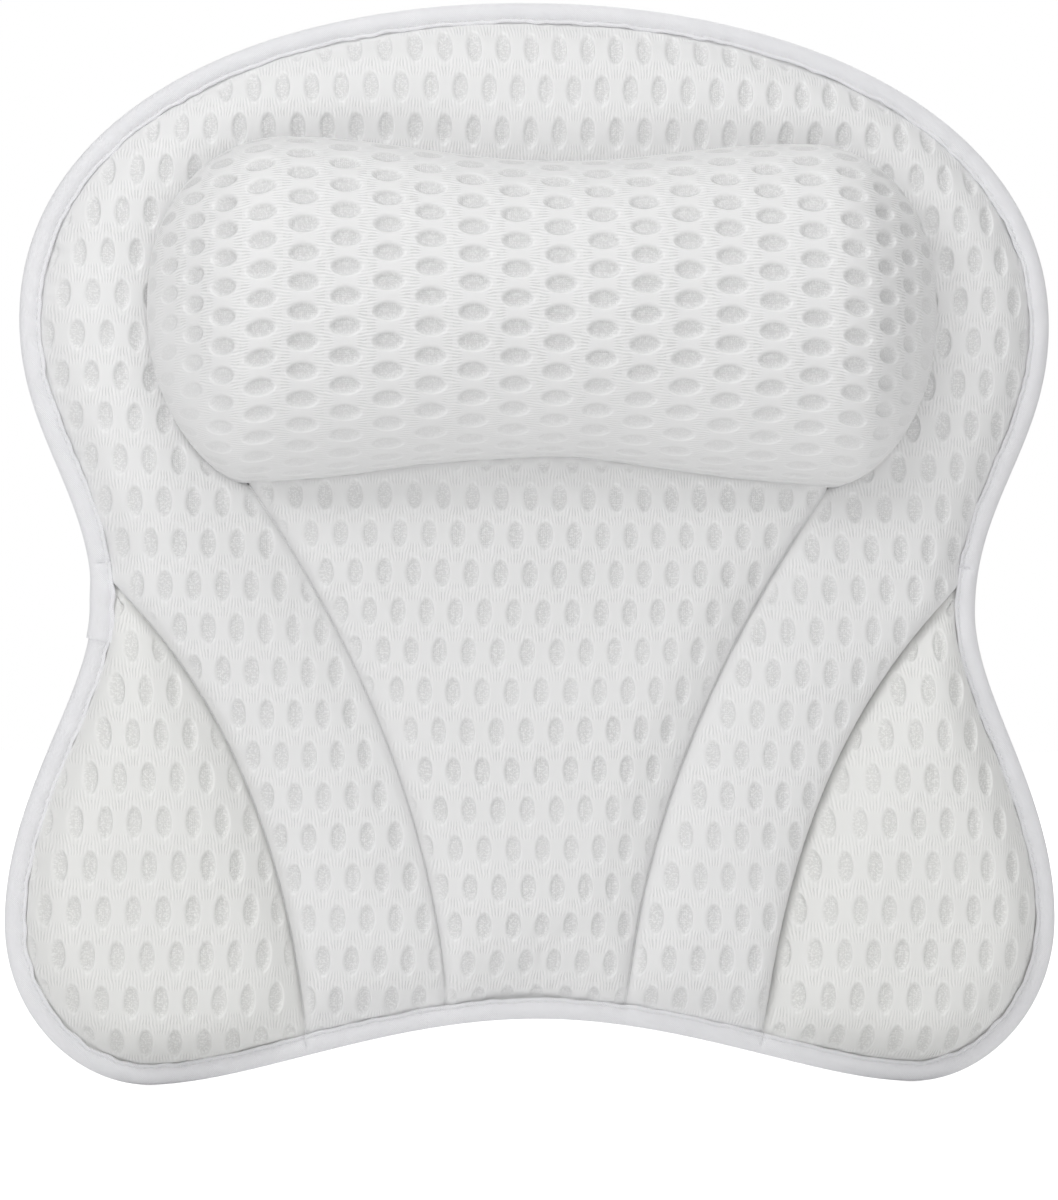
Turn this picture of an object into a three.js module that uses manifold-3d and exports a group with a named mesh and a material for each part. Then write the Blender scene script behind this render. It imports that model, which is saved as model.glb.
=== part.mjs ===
// Bath pillow: a butterfly shaped backrest of padded spacer mesh panels with a stuffed head pillow,
// a bound edge, a hanging loop and suction cups that hold it to the wall of a tub.
// Millimetres, +Z up, front towards -Y. The tub wall is the plane y = 0, and the origin is the
// centre of the middle suction cup on that wall.

import * as THREE from 'three';
import { mergeVertices } from 'three/addons/utils/BufferGeometryUtils.js';
import Module from 'manifold-3d';

const wasm = await Module();
wasm.setup();

// Pad outline: half widths from the centre line, heights above the lowest point of the wings
const PAD_HEIGHT = 418;
const HEAD_HALF_WIDTH = 200;
const HEAD_WIDEST_DROP = 123;
const WAIST_HALF_WIDTH = 171.5;
const WAIST_HEIGHT = 184;
const WING_HALF_WIDTH = 204.5;
const WING_WIDEST_HEIGHT = 62;
const WING_TIP_HALF_SPAN = 150;
const ARCH_HEIGHT = 25;

// Reach of the outline's roundings from each widest, narrowest, highest and lowest point
const HEAD_TOP_REACH = 110;
const HEAD_SIDE_REACH = 78;
const FLANK_TOP_REACH = 45;
const FLANK_WAIST_REACH = 44;
const HIP_WAIST_REACH = 35;
const HIP_WING_REACH = 50;
const LOBE_SIDE_REACH = 36;
const LOBE_TIP_REACH = 27;
const ARCH_TIP_REACH = 38;
const ARCH_CENTRE_REACH = 60;

// Seams that part the panels: where they meet the edge, and the point each one bends towards
const OUTER_SEAM_ABOVE_WAIST = 16;
const OUTER_SEAM_FOOT = 88.5;
const OUTER_SEAM_BEND_X = 100;
const OUTER_SEAM_BEND_HEIGHT = 136;
const INNER_SEAM_FOOT = 34.5;
const INNER_SEAM_BEND_X = 41;
const INNER_SEAM_BEND_HEIGHT = 128;
const SEAM_GAP = 2.4;
const SEAM_WIDTH = 1.6;
const PILLOW_SEAM_THICKNESS = 0.8;

// Head pillow, hung from the pad's top edge and set in from its sides
const PILLOW_TOP_BORDER = 58;
const PILLOW_SIDE_BORDER = 51;
const PILLOW_TOP_DIP = 8;
const PILLOW_LOBE_INSET = 49;
const PILLOW_END_DROP = 63;
const PILLOW_CORNER_DROP = 127;
const PILLOW_CORNER_INSET = 35;
const PILLOW_BOTTOM_ARCH = 10;
const PILLOW_CORNER_REACH = 17;
const PILLOW_END_REACH = 38;
const PILLOW_END_FALL = 31;
const PILLOW_LOBE_REACH = 30;
const PILLOW_DIP_REACH = 40;
const PILLOW_DEPTH = 80;
const PILLOW_SWELL = 7;
const PILLOW_END_ROUNDING = 52;
const PILLOW_FULLNESS = 0.75;

// Padding: how far each panel stands out, and how far from a seam it takes to rise
const SURROUND_CROWN = 15;
const CENTRE_CROWN = 14;
const WING_CROWN = 19;
const CROWN_RISE = 27;
const SEAM_FLAT = 1;
const MARGIN_SHARE = 0.9;
const FOAM_INSET = 5;
const FOAM_LEAST_WIDTH = 9;
const FOAM_GAP = 1;

// Fabric layers, from the back to the front, and the tape folded round their edge
const BACK_THICKNESS = 2;
const EDGE_THICKNESS = 2.5;
const MESH_THICKNESS = 4;
const TAPE_THICKNESS = 0.8;
const TAPE_WIDTH = 8;
const CLEARANCE = 0.3;

// Suction cups and the eyelets that hold their necks
const CUP_STANDOFF = 13;
const CUP_RADIUS = 27;
const CUP_LIP_WIDTH = 1.6;
const CUP_LIP_THICKNESS = 0.9;
const CUP_HOLLOW = 3.6;
const CUP_SHOULDER_RADIUS = 9;
const CUP_SIDE_FULLNESS = 0.8;
const CUP_NECK_RADIUS = 4.3;
const CUP_KNOB_RADIUS = 7;
const CUP_KNOB_HEIGHT = 3.4;
const CUP_KNOB_CHAMFER = 1.2;
const TAB_WIDTH = 11;
const TAB_REACH = 9;
const TAB_ROOT = 2.5;
const TAB_THICKNESS = 1.4;
const EYELET_WALL = 1;
const EYELET_FLANGE_RADIUS = 9.5;
const EYELET_FLANGE = 1;
const POCKET_ROOM = 0.6;

// Cup places: the upper pair from the head pillow's sides and top, the rest from the pad
const UPPER_CUP_INSET = 40;
const UPPER_CUP_DROP = 40;
const MIDDLE_CUP_DROP = 42;
const LOWER_CUP_HEIGHT = 86;
const WING_CUP_INSET = 52;
const WING_CUP_ABOVE_WIDEST = 10;

// Hanging loop of webbing and the patch that is sewn over its ends
const LOOP_WIDTH = 34;
const LOOP_LENGTH = 50;
const LOOP_BAND = 10;
const LOOP_THICKNESS = 1.5;
const LOOP_EYE_ROUNDING = 5;
const ANCHOR_WIDTH = 40;
const ANCHOR_HEIGHT = 12;
const ANCHOR_THICKNESS = 1.2;

// Steps along the curves
const SEAM_STEPS = 11;
const TOP_STEPS = 5;
const SHOULDER_STEPS = 5;
const END_STEPS = 4;
const WING_FLANK_STEPS = 1;
const WING_HIP_STEPS = 6;
const WING_LOBE_STEPS = 6;
const WING_ARCH_STEPS = 4;
const PILLOW_ARC_STEPS = 12;
const ARCH_STEPS = 8;
const ROUND_STEPS = 16;
const CUP_CURVE_STEPS = 4;
const SURROUND_COLUMNS = 5;
const CENTRE_COLUMNS = 8;
const WING_COLUMNS = 6;

// Levels are distances out from the tub wall, so a level lies at y = -level
const backFront = CUP_STANDOFF + BACK_THICKNESS;
const coverBase = backFront + CLEARANCE;
const coverEdge = coverBase + EDGE_THICKNESS;
const edgeInset = TAPE_THICKNESS + CLEARANCE;
const seamEndInset = edgeInset + SEAM_GAP;
const tapeFlat = TAPE_WIDTH - edgeInset + SEAM_FLAT;
const footFlat = TAPE_WIDTH - seamEndInset + SEAM_FLAT;

const headWidest = PAD_HEIGHT - HEAD_WIDEST_DROP;
const pillowTop = PAD_HEIGHT - PILLOW_TOP_BORDER;
const pillowHalfWidth = HEAD_HALF_WIDTH - PILLOW_SIDE_BORDER;
const pillowLobeX = pillowHalfWidth - PILLOW_LOBE_INSET;
const pillowCorner = point(pillowHalfWidth - PILLOW_CORNER_INSET, pillowTop - PILLOW_CORNER_DROP);
const pillowBottom = pillowCorner.y + PILLOW_BOTTOM_ARCH;
const pillowDip = pillowTop - PILLOW_TOP_DIP;
const pillowEnd = point(pillowHalfWidth, pillowTop - PILLOW_END_DROP);

const materials = {
  mesh: new THREE.MeshStandardMaterial({ color: 0xececec, roughness: 0.9, metalness: 0 }),
  foam: new THREE.MeshStandardMaterial({ color: 0xf4f1e6, roughness: 0.95, metalness: 0 }),
  fibre: new THREE.MeshStandardMaterial({ color: 0xf6f6f4, roughness: 1, metalness: 0 }),
  tape: new THREE.MeshStandardMaterial({ color: 0xededf3, roughness: 0.6, metalness: 0 }),
  thread: new THREE.MeshStandardMaterial({ color: 0xe6e6ea, roughness: 0.7, metalness: 0 }),
  webbing: new THREE.MeshStandardMaterial({ color: 0xeaeaee, roughness: 0.75, metalness: 0 }),
  vinyl: new THREE.MeshStandardMaterial({ color: 0xdfe6ea, roughness: 0.15, metalness: 0 }),
  eyelet: new THREE.MeshStandardMaterial({ color: 0xf2f2f2, roughness: 0.35, metalness: 0 }),
};

function point(x, height) {
  return new THREE.Vector2(x, height);
}

function placed(p, level) {
  return new THREE.Vector3(p.x, -level, p.y);
}

// A closed geometry from loose triangles: shared corners are merged, collapsed triangles are left
// out and the faces are turned outwards
function closed(corners) {
  const positions = corners.flatMap((c) => [c.x, c.y, c.z]);
  const loose = new THREE.BufferGeometry();
  loose.setAttribute('position', new THREE.Float32BufferAttribute(positions, 3));
  const welded = mergeVertices(loose, 1e-3);
  const source = welded.getIndex().array;
  const index = [];
  for (let k = 0; k < source.length; k += 3) {
    const [a, b, c] = [source[k], source[k + 1], source[k + 2]];
    if (a !== b && b !== c && c !== a) {
      index.push(a, b, c);
    }
  }
  if (signedVolume(welded.getAttribute('position'), index) < 0) {
    index.reverse();
  }
  welded.setIndex(index);
  return welded;
}

function signedVolume(position, index) {
  const [a, b, c] = [new THREE.Vector3(), new THREE.Vector3(), new THREE.Vector3()];
  let volume = 0;
  for (let k = 0; k < index.length; k += 3) {
    a.fromBufferAttribute(position, index[k]);
    b.fromBufferAttribute(position, index[k + 1]);
    c.fromBufferAttribute(position, index[k + 2]);
    volume += a.dot(b.cross(c)) / 6;
  }
  return volume;
}

function closedFrom(geometry) {
  const flat = geometry.index ? geometry.toNonIndexed() : geometry;
  const position = flat.getAttribute('position');
  const corners = [];
  for (let k = 0; k < position.count; k += 1) {
    corners.push(new THREE.Vector3().fromBufferAttribute(position, k));
  }
  return closed(corners);
}

function toSolid(geometry) {
  return new wasm.Manifold(new wasm.Mesh({
    numProp: 3,
    vertProperties: new Float32Array(geometry.getAttribute('position').array),
    triVerts: new Uint32Array(geometry.getIndex().array),
  }));
}

function fromSolid(solid) {
  const mesh = solid.getMesh();
  const geometry = new THREE.BufferGeometry();
  geometry.setAttribute('position', new THREE.BufferAttribute(mesh.vertProperties, 3));
  geometry.setIndex(new THREE.BufferAttribute(mesh.triVerts, 1));
  return geometry;
}

function named(name, geometry, material) {
  const mesh = new THREE.Mesh(geometry, material);
  mesh.name = name;
  return mesh;
}

// A solid between two grids of the same size, with walls round their edges
function gridSolid(front, back) {
  const corners = [];
  const quad = (a, b, c, d) => corners.push(a, b, c, a, c, d);
  const lastRow = front.length - 1;
  const lastColumn = front[0].length - 1;
  for (let i = 0; i < lastRow; i += 1) {
    for (let j = 0; j < lastColumn; j += 1) {
      quad(front[i][j], front[i + 1][j], front[i + 1][j + 1], front[i][j + 1]);
      quad(back[i][j], back[i][j + 1], back[i + 1][j + 1], back[i + 1][j]);
    }
    quad(back[i][0], back[i + 1][0], front[i + 1][0], front[i][0]);
    quad(front[i][lastColumn], front[i + 1][lastColumn], back[i + 1][lastColumn], back[i][lastColumn]);
  }
  for (let j = 0; j < lastColumn; j += 1) {
    quad(front[0][j], front[0][j + 1], back[0][j + 1], back[0][j]);
    quad(back[lastRow][j], back[lastRow][j + 1], front[lastRow][j + 1], front[lastRow][j]);
  }
  return closed(corners);
}

// Curve helpers: all of them work in the front view, with x across and y as the height
function trace(curve, from, to, steps) {
  const points = [];
  for (let k = 0; k <= steps; k += 1) {
    points.push(curve.getPoint(from + (to - from) * k / steps));
  }
  return points;
}

function join(...runs) {
  return runs.flatMap((run, k) => (k === 0 ? run : run.slice(1)));
}

function mirrored(points) {
  return points.map((p) => point(-p.x, p.y));
}

function reversed(points) {
  return points.slice().reverse();
}

// A run that starts at the centre line, completed with its mirror image, left end first
function bothSides(half) {
  return [...reversed(mirrored(half.slice(1))), ...half];
}

// A run moved sideways, to the right of its direction of travel
function shifted(points, distance) {
  return points.map((p, k) => {
    const before = points[Math.max(k - 1, 0)];
    const after = points[Math.min(k + 1, points.length - 1)];
    const along = after.clone().sub(before).normalize();
    return point(p.x + along.y * distance, p.y - along.x * distance);
  });
}

// Parameter at which a curve that runs steadily one way reaches a coordinate
function paramAt(curve, axis, value) {
  const rising = curve.getPoint(1)[axis] > curve.getPoint(0)[axis];
  let low = 0;
  let high = 1;
  while (high - low > 1e-9) {
    const middle = (low + high) / 2;
    if ((curve.getPoint(middle)[axis] < value) === rising) {
      low = middle;
    } else {
      high = middle;
    }
  }
  return low;
}

// Right half of the outline, from the top centre clockwise to the bottom centre
const headCurve = new THREE.CubicBezierCurve(
  point(0, PAD_HEIGHT),
  point(HEAD_TOP_REACH, PAD_HEIGHT),
  point(HEAD_HALF_WIDTH, headWidest + HEAD_SIDE_REACH),
  point(HEAD_HALF_WIDTH, headWidest),
);
const flankCurve = new THREE.CubicBezierCurve(
  point(HEAD_HALF_WIDTH, headWidest),
  point(HEAD_HALF_WIDTH, headWidest - FLANK_TOP_REACH),
  point(WAIST_HALF_WIDTH, WAIST_HEIGHT + FLANK_WAIST_REACH),
  point(WAIST_HALF_WIDTH, WAIST_HEIGHT),
);
const hipCurve = new THREE.CubicBezierCurve(
  point(WAIST_HALF_WIDTH, WAIST_HEIGHT),
  point(WAIST_HALF_WIDTH, WAIST_HEIGHT - HIP_WAIST_REACH),
  point(WING_HALF_WIDTH, WING_WIDEST_HEIGHT + HIP_WING_REACH),
  point(WING_HALF_WIDTH, WING_WIDEST_HEIGHT),
);
const lobeCurve = new THREE.CubicBezierCurve(
  point(WING_HALF_WIDTH, WING_WIDEST_HEIGHT),
  point(WING_HALF_WIDTH, WING_WIDEST_HEIGHT - LOBE_SIDE_REACH),
  point(WING_TIP_HALF_SPAN + LOBE_TIP_REACH, 0),
  point(WING_TIP_HALF_SPAN, 0),
);
const archCurve = new THREE.CubicBezierCurve(
  point(WING_TIP_HALF_SPAN, 0),
  point(WING_TIP_HALF_SPAN - ARCH_TIP_REACH, 0),
  point(ARCH_CENTRE_REACH, ARCH_HEIGHT),
  point(0, ARCH_HEIGHT),
);

// Seams of the right half, drawn as far as the outline
const outerSeamTop = paramAt(flankCurve, 'y', WAIST_HEIGHT + OUTER_SEAM_ABOVE_WAIST);
const outerSeamFoot = paramAt(archCurve, 'x', OUTER_SEAM_FOOT);
const innerSeamFoot = paramAt(archCurve, 'x', INNER_SEAM_FOOT);
const outerSeam = new THREE.QuadraticBezierCurve(
  flankCurve.getPoint(outerSeamTop),
  point(OUTER_SEAM_BEND_X, OUTER_SEAM_BEND_HEIGHT),
  archCurve.getPoint(outerSeamFoot),
);
const innerSeam = new THREE.QuadraticBezierCurve(
  pillowCorner,
  point(INNER_SEAM_BEND_X, INNER_SEAM_BEND_HEIGHT),
  archCurve.getPoint(innerSeamFoot),
);

// Sines of the angles at which the seams meet the outline
const topSlant = Math.abs(outerSeam.getTangent(0).cross(flankCurve.getTangent(outerSeamTop)));
const footSlant = Math.abs(outerSeam.getTangent(1).cross(archCurve.getTangent(outerSeamFoot)));
const innerSlant = Math.abs(innerSeam.getTangent(1).cross(archCurve.getTangent(innerSeamFoot)));

// Right half of the head pillow's seam, from the top centre clockwise to the bottom centre
const pillowTopCurve = new THREE.CubicBezierCurve(
  point(0, pillowDip),
  point(PILLOW_DIP_REACH, pillowDip),
  point(pillowLobeX - PILLOW_DIP_REACH, pillowTop),
  point(pillowLobeX, pillowTop),
);
const pillowShoulderCurve = new THREE.CubicBezierCurve(
  point(pillowLobeX, pillowTop),
  point(pillowLobeX + PILLOW_LOBE_REACH, pillowTop),
  point(pillowHalfWidth, pillowEnd.y + PILLOW_END_REACH),
  pillowEnd,
);
const pillowEndCurve = new THREE.CubicBezierCurve(
  pillowEnd,
  point(pillowHalfWidth, pillowEnd.y - PILLOW_END_FALL),
  point(pillowCorner.x + PILLOW_CORNER_REACH, pillowCorner.y),
  pillowCorner,
);
const pillowBottomCurve = new THREE.CubicBezierCurve(
  pillowCorner,
  point((pillowCorner.x * 2) / 3, pillowCorner.y),
  point(pillowCorner.x / 3, pillowBottom),
  point(0, pillowBottom),
);

// Points of a seam: even steps between two that lie at the tape's inner edge, and its two ends
function seamPoints(seam, start, footSine) {
  const end = seam.getLength() - seamEndInset / footSine;
  const afterTape = start + TAPE_WIDTH;
  const beforeTape = end - footFlat / footSine;
  const between = evenly(SEAM_STEPS - 2).map((share) => (
    THREE.MathUtils.lerp(afterTape, beforeTape, share)
  ));
  return [start, ...between, end].map((distance) => pointAlong(seam, distance));
}

function pointAlong(curve, distance) {
  return curve.getPoint(curve.getUtoTmapping(0, distance));
}

// Stretches of the outline on either side of the outer seams, parted there by a seam gap
const topGap = SEAM_GAP / 2 / topSlant;
const footGap = SEAM_GAP / 2 / footSlant;
const flankAboveSeam = paramAt(flankCurve, 'y', WAIST_HEIGHT + OUTER_SEAM_ABOVE_WAIST + topGap);
const flankBelowSeam = paramAt(flankCurve, 'y', WAIST_HEIGHT + OUTER_SEAM_ABOVE_WAIST - topGap);
const archOutsideSeam = paramAt(archCurve, 'x', OUTER_SEAM_FOOT + footGap);
const archInsideSeam = paramAt(archCurve, 'x', OUTER_SEAM_FOOT - footGap);
const headHalf = join(
  trace(headCurve, 0, 1, TOP_STEPS + SHOULDER_STEPS),
  trace(flankCurve, 0, flankAboveSeam, END_STEPS),
);
const headOutline = bothSides(headHalf);
const wingOutline = join(
  trace(flankCurve, flankBelowSeam, 1, WING_FLANK_STEPS),
  trace(hipCurve, 0, 1, WING_HIP_STEPS),
  trace(lobeCurve, 0, 1, WING_LOBE_STEPS),
  trace(archCurve, 0, archOutsideSeam, WING_ARCH_STEPS),
);
const archOutline = reversed(bothSides(trace(archCurve, 1, archInsideSeam, ARCH_STEPS / 2)));
const wingSteps = WING_FLANK_STEPS + WING_HIP_STEPS + WING_LOBE_STEPS + WING_ARCH_STEPS;

// A stretch of the outline set inwards, with its ends cut in the direction of the seams there
const topCut = outerSeam.getTangent(0);
const footCut = outerSeam.getTangent(1).negate();
const headCuts = [...mirrored([topCut]), topCut];
const wingCuts = [topCut, footCut];
const archCuts = [footCut, ...mirrored([footCut])];

function edgeRun(run, inset, cuts) {
  const inward = shifted(run, 1).map((p, i) => p.sub(run[i]));
  const directions = [cuts[0], ...inward.slice(1, -1), cuts[1]];
  return run.map((p, i) => (
    p.clone().addScaledVector(directions[i], inset / directions[i].dot(inward[i]))
  ));
}

// A padded panel between two runs of points, its sides. Its rows may bow upwards, and its padding
// rises from flat margins along the sides and, where they are given, from flat rows at its ends
class Panel {
  constructor(sideA, sideB, { crown, flatA, flatB, flatRows = null, bows = [0, 0] }) {
    this.sideA = sideA;
    this.sideB = sideB;
    this.crown = crown;
    this.flatA = flatA;
    this.flatB = flatB;
    this.bows = bows;
    this.lastRow = sideA.length - 1;
    this.reachA = squareReach(sideA, sideB);
    this.reachB = squareReach(sideB, sideA);
    this.endRoom = this.roomToEnds(flatRows);
  }

  // A row at the foot bows in a plain arc, and one at the top runs out level at its two ends
  at(i, v) {
    const footBow = this.bows[0] * 4 * v * (1 - v);
    const topBow = this.bows[1] * THREE.MathUtils.smoothstep(1 - Math.abs(2 * v - 1), 0, 1);
    const p = this.sideA[i].clone().lerp(this.sideB[i], v);
    p.y += THREE.MathUtils.lerp(footBow, topBow, i / this.lastRow);
    return p;
  }

  // Distance of each row, along the middle of the panel, to the flat rows at the two ends
  roomToEnds(flatRows) {
    const travelled = [0];
    for (let i = 1; i <= this.lastRow; i += 1) {
      travelled.push(travelled[i - 1] + this.at(i, 0.5).distanceTo(this.at(i - 1, 0.5)));
    }
    return travelled.map((t) => (flatRows
      ? [t - travelled[flatRows[0]], travelled[this.lastRow - flatRows[1]] - t]
      : [Infinity, Infinity]
    ));
  }

  // Height of the padding, from 0 on the flat margins to 1
  padding(i, v) {
    const rooms = [
      v * this.reachA[i] - this.flatA[i],
      (1 - v) * this.reachB[i] - this.flatB[i],
      ...this.endRoom[i],
    ];
    return rooms.reduce((height, room) => height * riseAt(room), 1);
  }

  // Shares across a row: its edges, its margins and steps between them that bunch at the margins
  shares(i, columns) {
    const [marginA, marginB] = this.margins(i);
    const fit = Math.min(1, MARGIN_SHARE / (marginA + marginB));
    const steps = evenly(columns).map((share) => THREE.MathUtils.lerp(
      marginA * fit,
      1 - marginB * fit,
      (1 - Math.cos(Math.PI * share)) / 2,
    ));
    return [0, ...steps, 1];
  }

  margins(i) {
    return [this.flatA[i] / this.reachA[i], this.flatB[i] / this.reachB[i]];
  }

  // The mesh fabric, thin along the seams and the edge and full over the padding
  cover(columns) {
    const growth = MESH_THICKNESS - EDGE_THICKNESS;
    const rows = this.sideA.map((_, i) => (
      this.shares(i, columns).map((v) => [this.at(i, v), this.padding(i, v)])
    ));
    const front = rows.map((row) => row.map(([p, h]) => placed(p, coverEdge + this.crown * h)));
    const under = rows.map((row) => row.map(([p, h]) => placed(p, coverBase + (this.crown - growth) * h)));
    return gridSolid(front, under);
  }

  // The foam under the cover, on the same grid but set in from the margins and the ends
  foam(columns) {
    const depth = this.crown - (MESH_THICKNESS - EDGE_THICKNESS);
    const kept = this.sideA.map((_, i) => i).filter((i) => {
      const [marginA, marginB] = this.margins(i);
      const padded = (1 - marginA - marginB) * Math.min(this.reachA[i], this.reachB[i]);
      return padded > FOAM_LEAST_WIDTH && Math.min(...this.endRoom[i]) > FOAM_INSET;
    });
    const rows = kept.map((i) => this.shares(i, columns).slice(2, -2).map((v) => {
      const room = depth * this.padding(i, v);
      return [this.at(i, v), Math.max(room - FOAM_GAP, room / 2)];
    }));
    const front = rows.map((row) => row.map(([p, h]) => placed(p, coverBase + h)));
    const back = rows.map((row) => row.map(([p]) => placed(p, coverBase)));
    return gridSolid(front, back);
  }
}

// Distance across each row, measured square to a side of the panel
function squareReach(side, other) {
  return side.map((p, i) => {
    const before = side[Math.max(i - 1, 0)];
    const after = side[Math.min(i + 1, side.length - 1)];
    const along = after.clone().sub(before).normalize();
    return Math.abs(along.cross(other[i].clone().sub(p)));
  });
}

function evenly(steps) {
  return Array.from({ length: steps + 1 }, (_, k) => k / steps);
}

function riseAt(room) {
  return Math.sin(THREE.MathUtils.clamp(room / CROWN_RISE, 0, 1) * Math.PI / 2);
}

// Surround: one panel that runs up between the seams on the left, round the head and down again
const outerSeamRun = seamPoints(outerSeam, seamEndInset / topSlant, footSlant);
const innerSeamRun = seamPoints(innerSeam, 0, innerSlant);
const surroundSeamSide = shifted(outerSeamRun, SEAM_GAP / 2);
const surroundOuter = [
  ...reversed(mirrored(surroundSeamSide)),
  ...edgeRun(headOutline, edgeInset, headCuts),
  ...surroundSeamSide,
];
const surroundInnerSide = shifted(innerSeamRun, -SEAM_GAP / 2);
const pillowAround = bothSides(join(
  trace(pillowTopCurve, 0, 1, TOP_STEPS),
  trace(pillowShoulderCurve, 0, 1, SHOULDER_STEPS),
  trace(pillowEndCurve, 0, 1, END_STEPS),
));
const surroundInner = [
  ...reversed(mirrored(surroundInnerSide)),
  ...shifted(pillowAround, -SEAM_GAP / 2),
  ...surroundInnerSide,
];
const surroundSeamFlats = outerSeamRun.map((_, k) => (k < 2 ? tapeFlat : SEAM_FLAT));
const surroundFlats = [
  ...reversed(surroundSeamFlats),
  ...headOutline.map(() => tapeFlat),
  ...surroundSeamFlats,
];
const surround = new Panel(surroundInner, surroundOuter, {
  crown: SURROUND_CROWN,
  flatA: surroundInner.map(() => SEAM_FLAT),
  flatB: surroundFlats,
  flatRows: [1, 1],
});

// Centre: between the inner seams, from the lower edge up to the head pillow
const centreSeamRun = seamPoints(innerSeam, SEAM_GAP, innerSlant);
const centreRight = reversed(shifted(centreSeamRun, SEAM_GAP / 2));
const centreFootArch = ARCH_HEIGHT + seamEndInset - centreRight[0].y;
const centre = new Panel(mirrored(centreRight), centreRight, {
  crown: CENTRE_CROWN,
  flatA: centreRight.map(() => SEAM_FLAT),
  flatB: centreRight.map(() => SEAM_FLAT),
  flatRows: [1, 0],
  bows: [centreFootArch, PILLOW_BOTTOM_ARCH],
});

// Wings: between the outer seams and the edge
const wingSeamStart = seamEndInset / topSlant;
const wingSeamEnd = outerSeam.getLength() - seamEndInset / footSlant;
const wingSeamRun = evenly(wingSteps).map((share) => (
  pointAlong(outerSeam, THREE.MathUtils.lerp(wingSeamStart, wingSeamEnd, share))
));
const wingSeamSide = shifted(wingSeamRun, -SEAM_GAP / 2);
const wingEdgeSide = edgeRun(wingOutline, edgeInset, wingCuts);
const wingSeamFlats = wingSeamSide.map((_, i) => (
  Math.min(i, wingSteps - i) < 2 ? tapeFlat : SEAM_FLAT
));
const rightWing = new Panel(wingSeamSide, wingEdgeSide, {
  crown: WING_CROWN,
  flatA: wingSeamFlats,
  flatB: wingEdgeSide.map(() => tapeFlat + SEAM_FLAT),
});

// Head pillow: a bolster that swells out of its seam, higher than it is wide at the root
const pillowHigh = bothSides(join(
  trace(pillowTopCurve, 0, 1, TOP_STEPS),
  trace(pillowShoulderCurve, 0, 1, SHOULDER_STEPS),
));
const pillowLow = bothSides(join(
  trace(pillowBottomCurve, 1, 0, TOP_STEPS + SHOULDER_STEPS - END_STEPS),
  trace(pillowEndCurve, 1, 0, END_STEPS),
));
const pillowLoop = [...pillowHigh, ...reversed(pillowLow).slice(1, -1)];

function pillowSurface(inset, depth) {
  const loop = shiftedLoop(pillowLoop, inset);
  const high = loop.slice(0, pillowHigh.length);
  const low = [high[0], ...reversed(loop.slice(pillowHigh.length)), high[high.length - 1]];
  const endX = high[high.length - 1].x;
  return high.map((top, i) => {
    const middle = top.clone().add(low[i]).multiplyScalar(0.5);
    const half = top.clone().sub(low[i]).multiplyScalar(0.5);
    const fromEnd = Math.min((endX - Math.abs(middle.x)) / PILLOW_END_ROUNDING, 1);
    const endHeight = Math.sqrt(1 - (1 - fromEnd) ** 2);
    const endShare = Math.sign(middle.x) * (1 - fromEnd);
    return evenly(PILLOW_ARC_STEPS).map((share) => {
      const across = -Math.cos(share * Math.PI);
      const arc = Math.sin(share * Math.PI) ** PILLOW_FULLNESS;
      const swell = PILLOW_SWELL * 4 * arc * (1 - arc) * endHeight;
      const height = arc * endHeight;
      const p = middle.clone().addScaledVector(half, across);
      p.y += across > 0 ? swell : 0;
      p.x += PILLOW_SWELL * 4 * height * (1 - height) * endShare;
      return placed(p, coverBase + depth * height);
    });
  });
}

function pillowFloor(inset) {
  return pillowSurface(inset, 0).map((row) => {
    const [first, last] = [row[0], row[PILLOW_ARC_STEPS]];
    return evenly(PILLOW_ARC_STEPS).map((share) => (
      first.clone().lerp(last, (1 - Math.cos(share * Math.PI)) / 2)
    ));
  });
}

function shiftedLoop(points, distance) {
  const ends = [points[points.length - 1], ...points, points[0]];
  return shifted(ends, distance).slice(1, -1);
}

// Flat pieces cut from sheet: an outline with holes, from a level towards the front
function plate(outline, holes, level, thickness) {
  const shape = new THREE.Shape(outline);
  const turnsRight = THREE.ShapeUtils.isClockWise(outline);
  shape.holes = holes.map((hole) => new THREE.Path(
    THREE.ShapeUtils.isClockWise(hole) === turnsRight ? reversed(hole) : hole,
  ));
  const geometry = new THREE.ExtrudeGeometry(shape, { depth: thickness, bevelEnabled: false });
  geometry.rotateX(Math.PI / 2);
  geometry.translate(0, -level, 0);
  return closedFrom(geometry);
}

function circle(x, height, radius) {
  return Array.from({ length: ROUND_STEPS }, (_, k) => {
    const turn = 2 * Math.PI * k / ROUND_STEPS;
    return point(x + radius * Math.cos(turn), height + radius * Math.sin(turn));
  });
}

// A strip of folded fabric along a seam, between the edges of the two covers
function seamStrip(run) {
  const sides = [shifted(run, -SEAM_WIDTH / 2), shifted(run, SEAM_WIDTH / 2)];
  const layer = (level) => run.map((_, i) => sides.map((side) => placed(side[i], level)));
  return gridSolid(layer(coverEdge), layer(coverBase));
}

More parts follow.
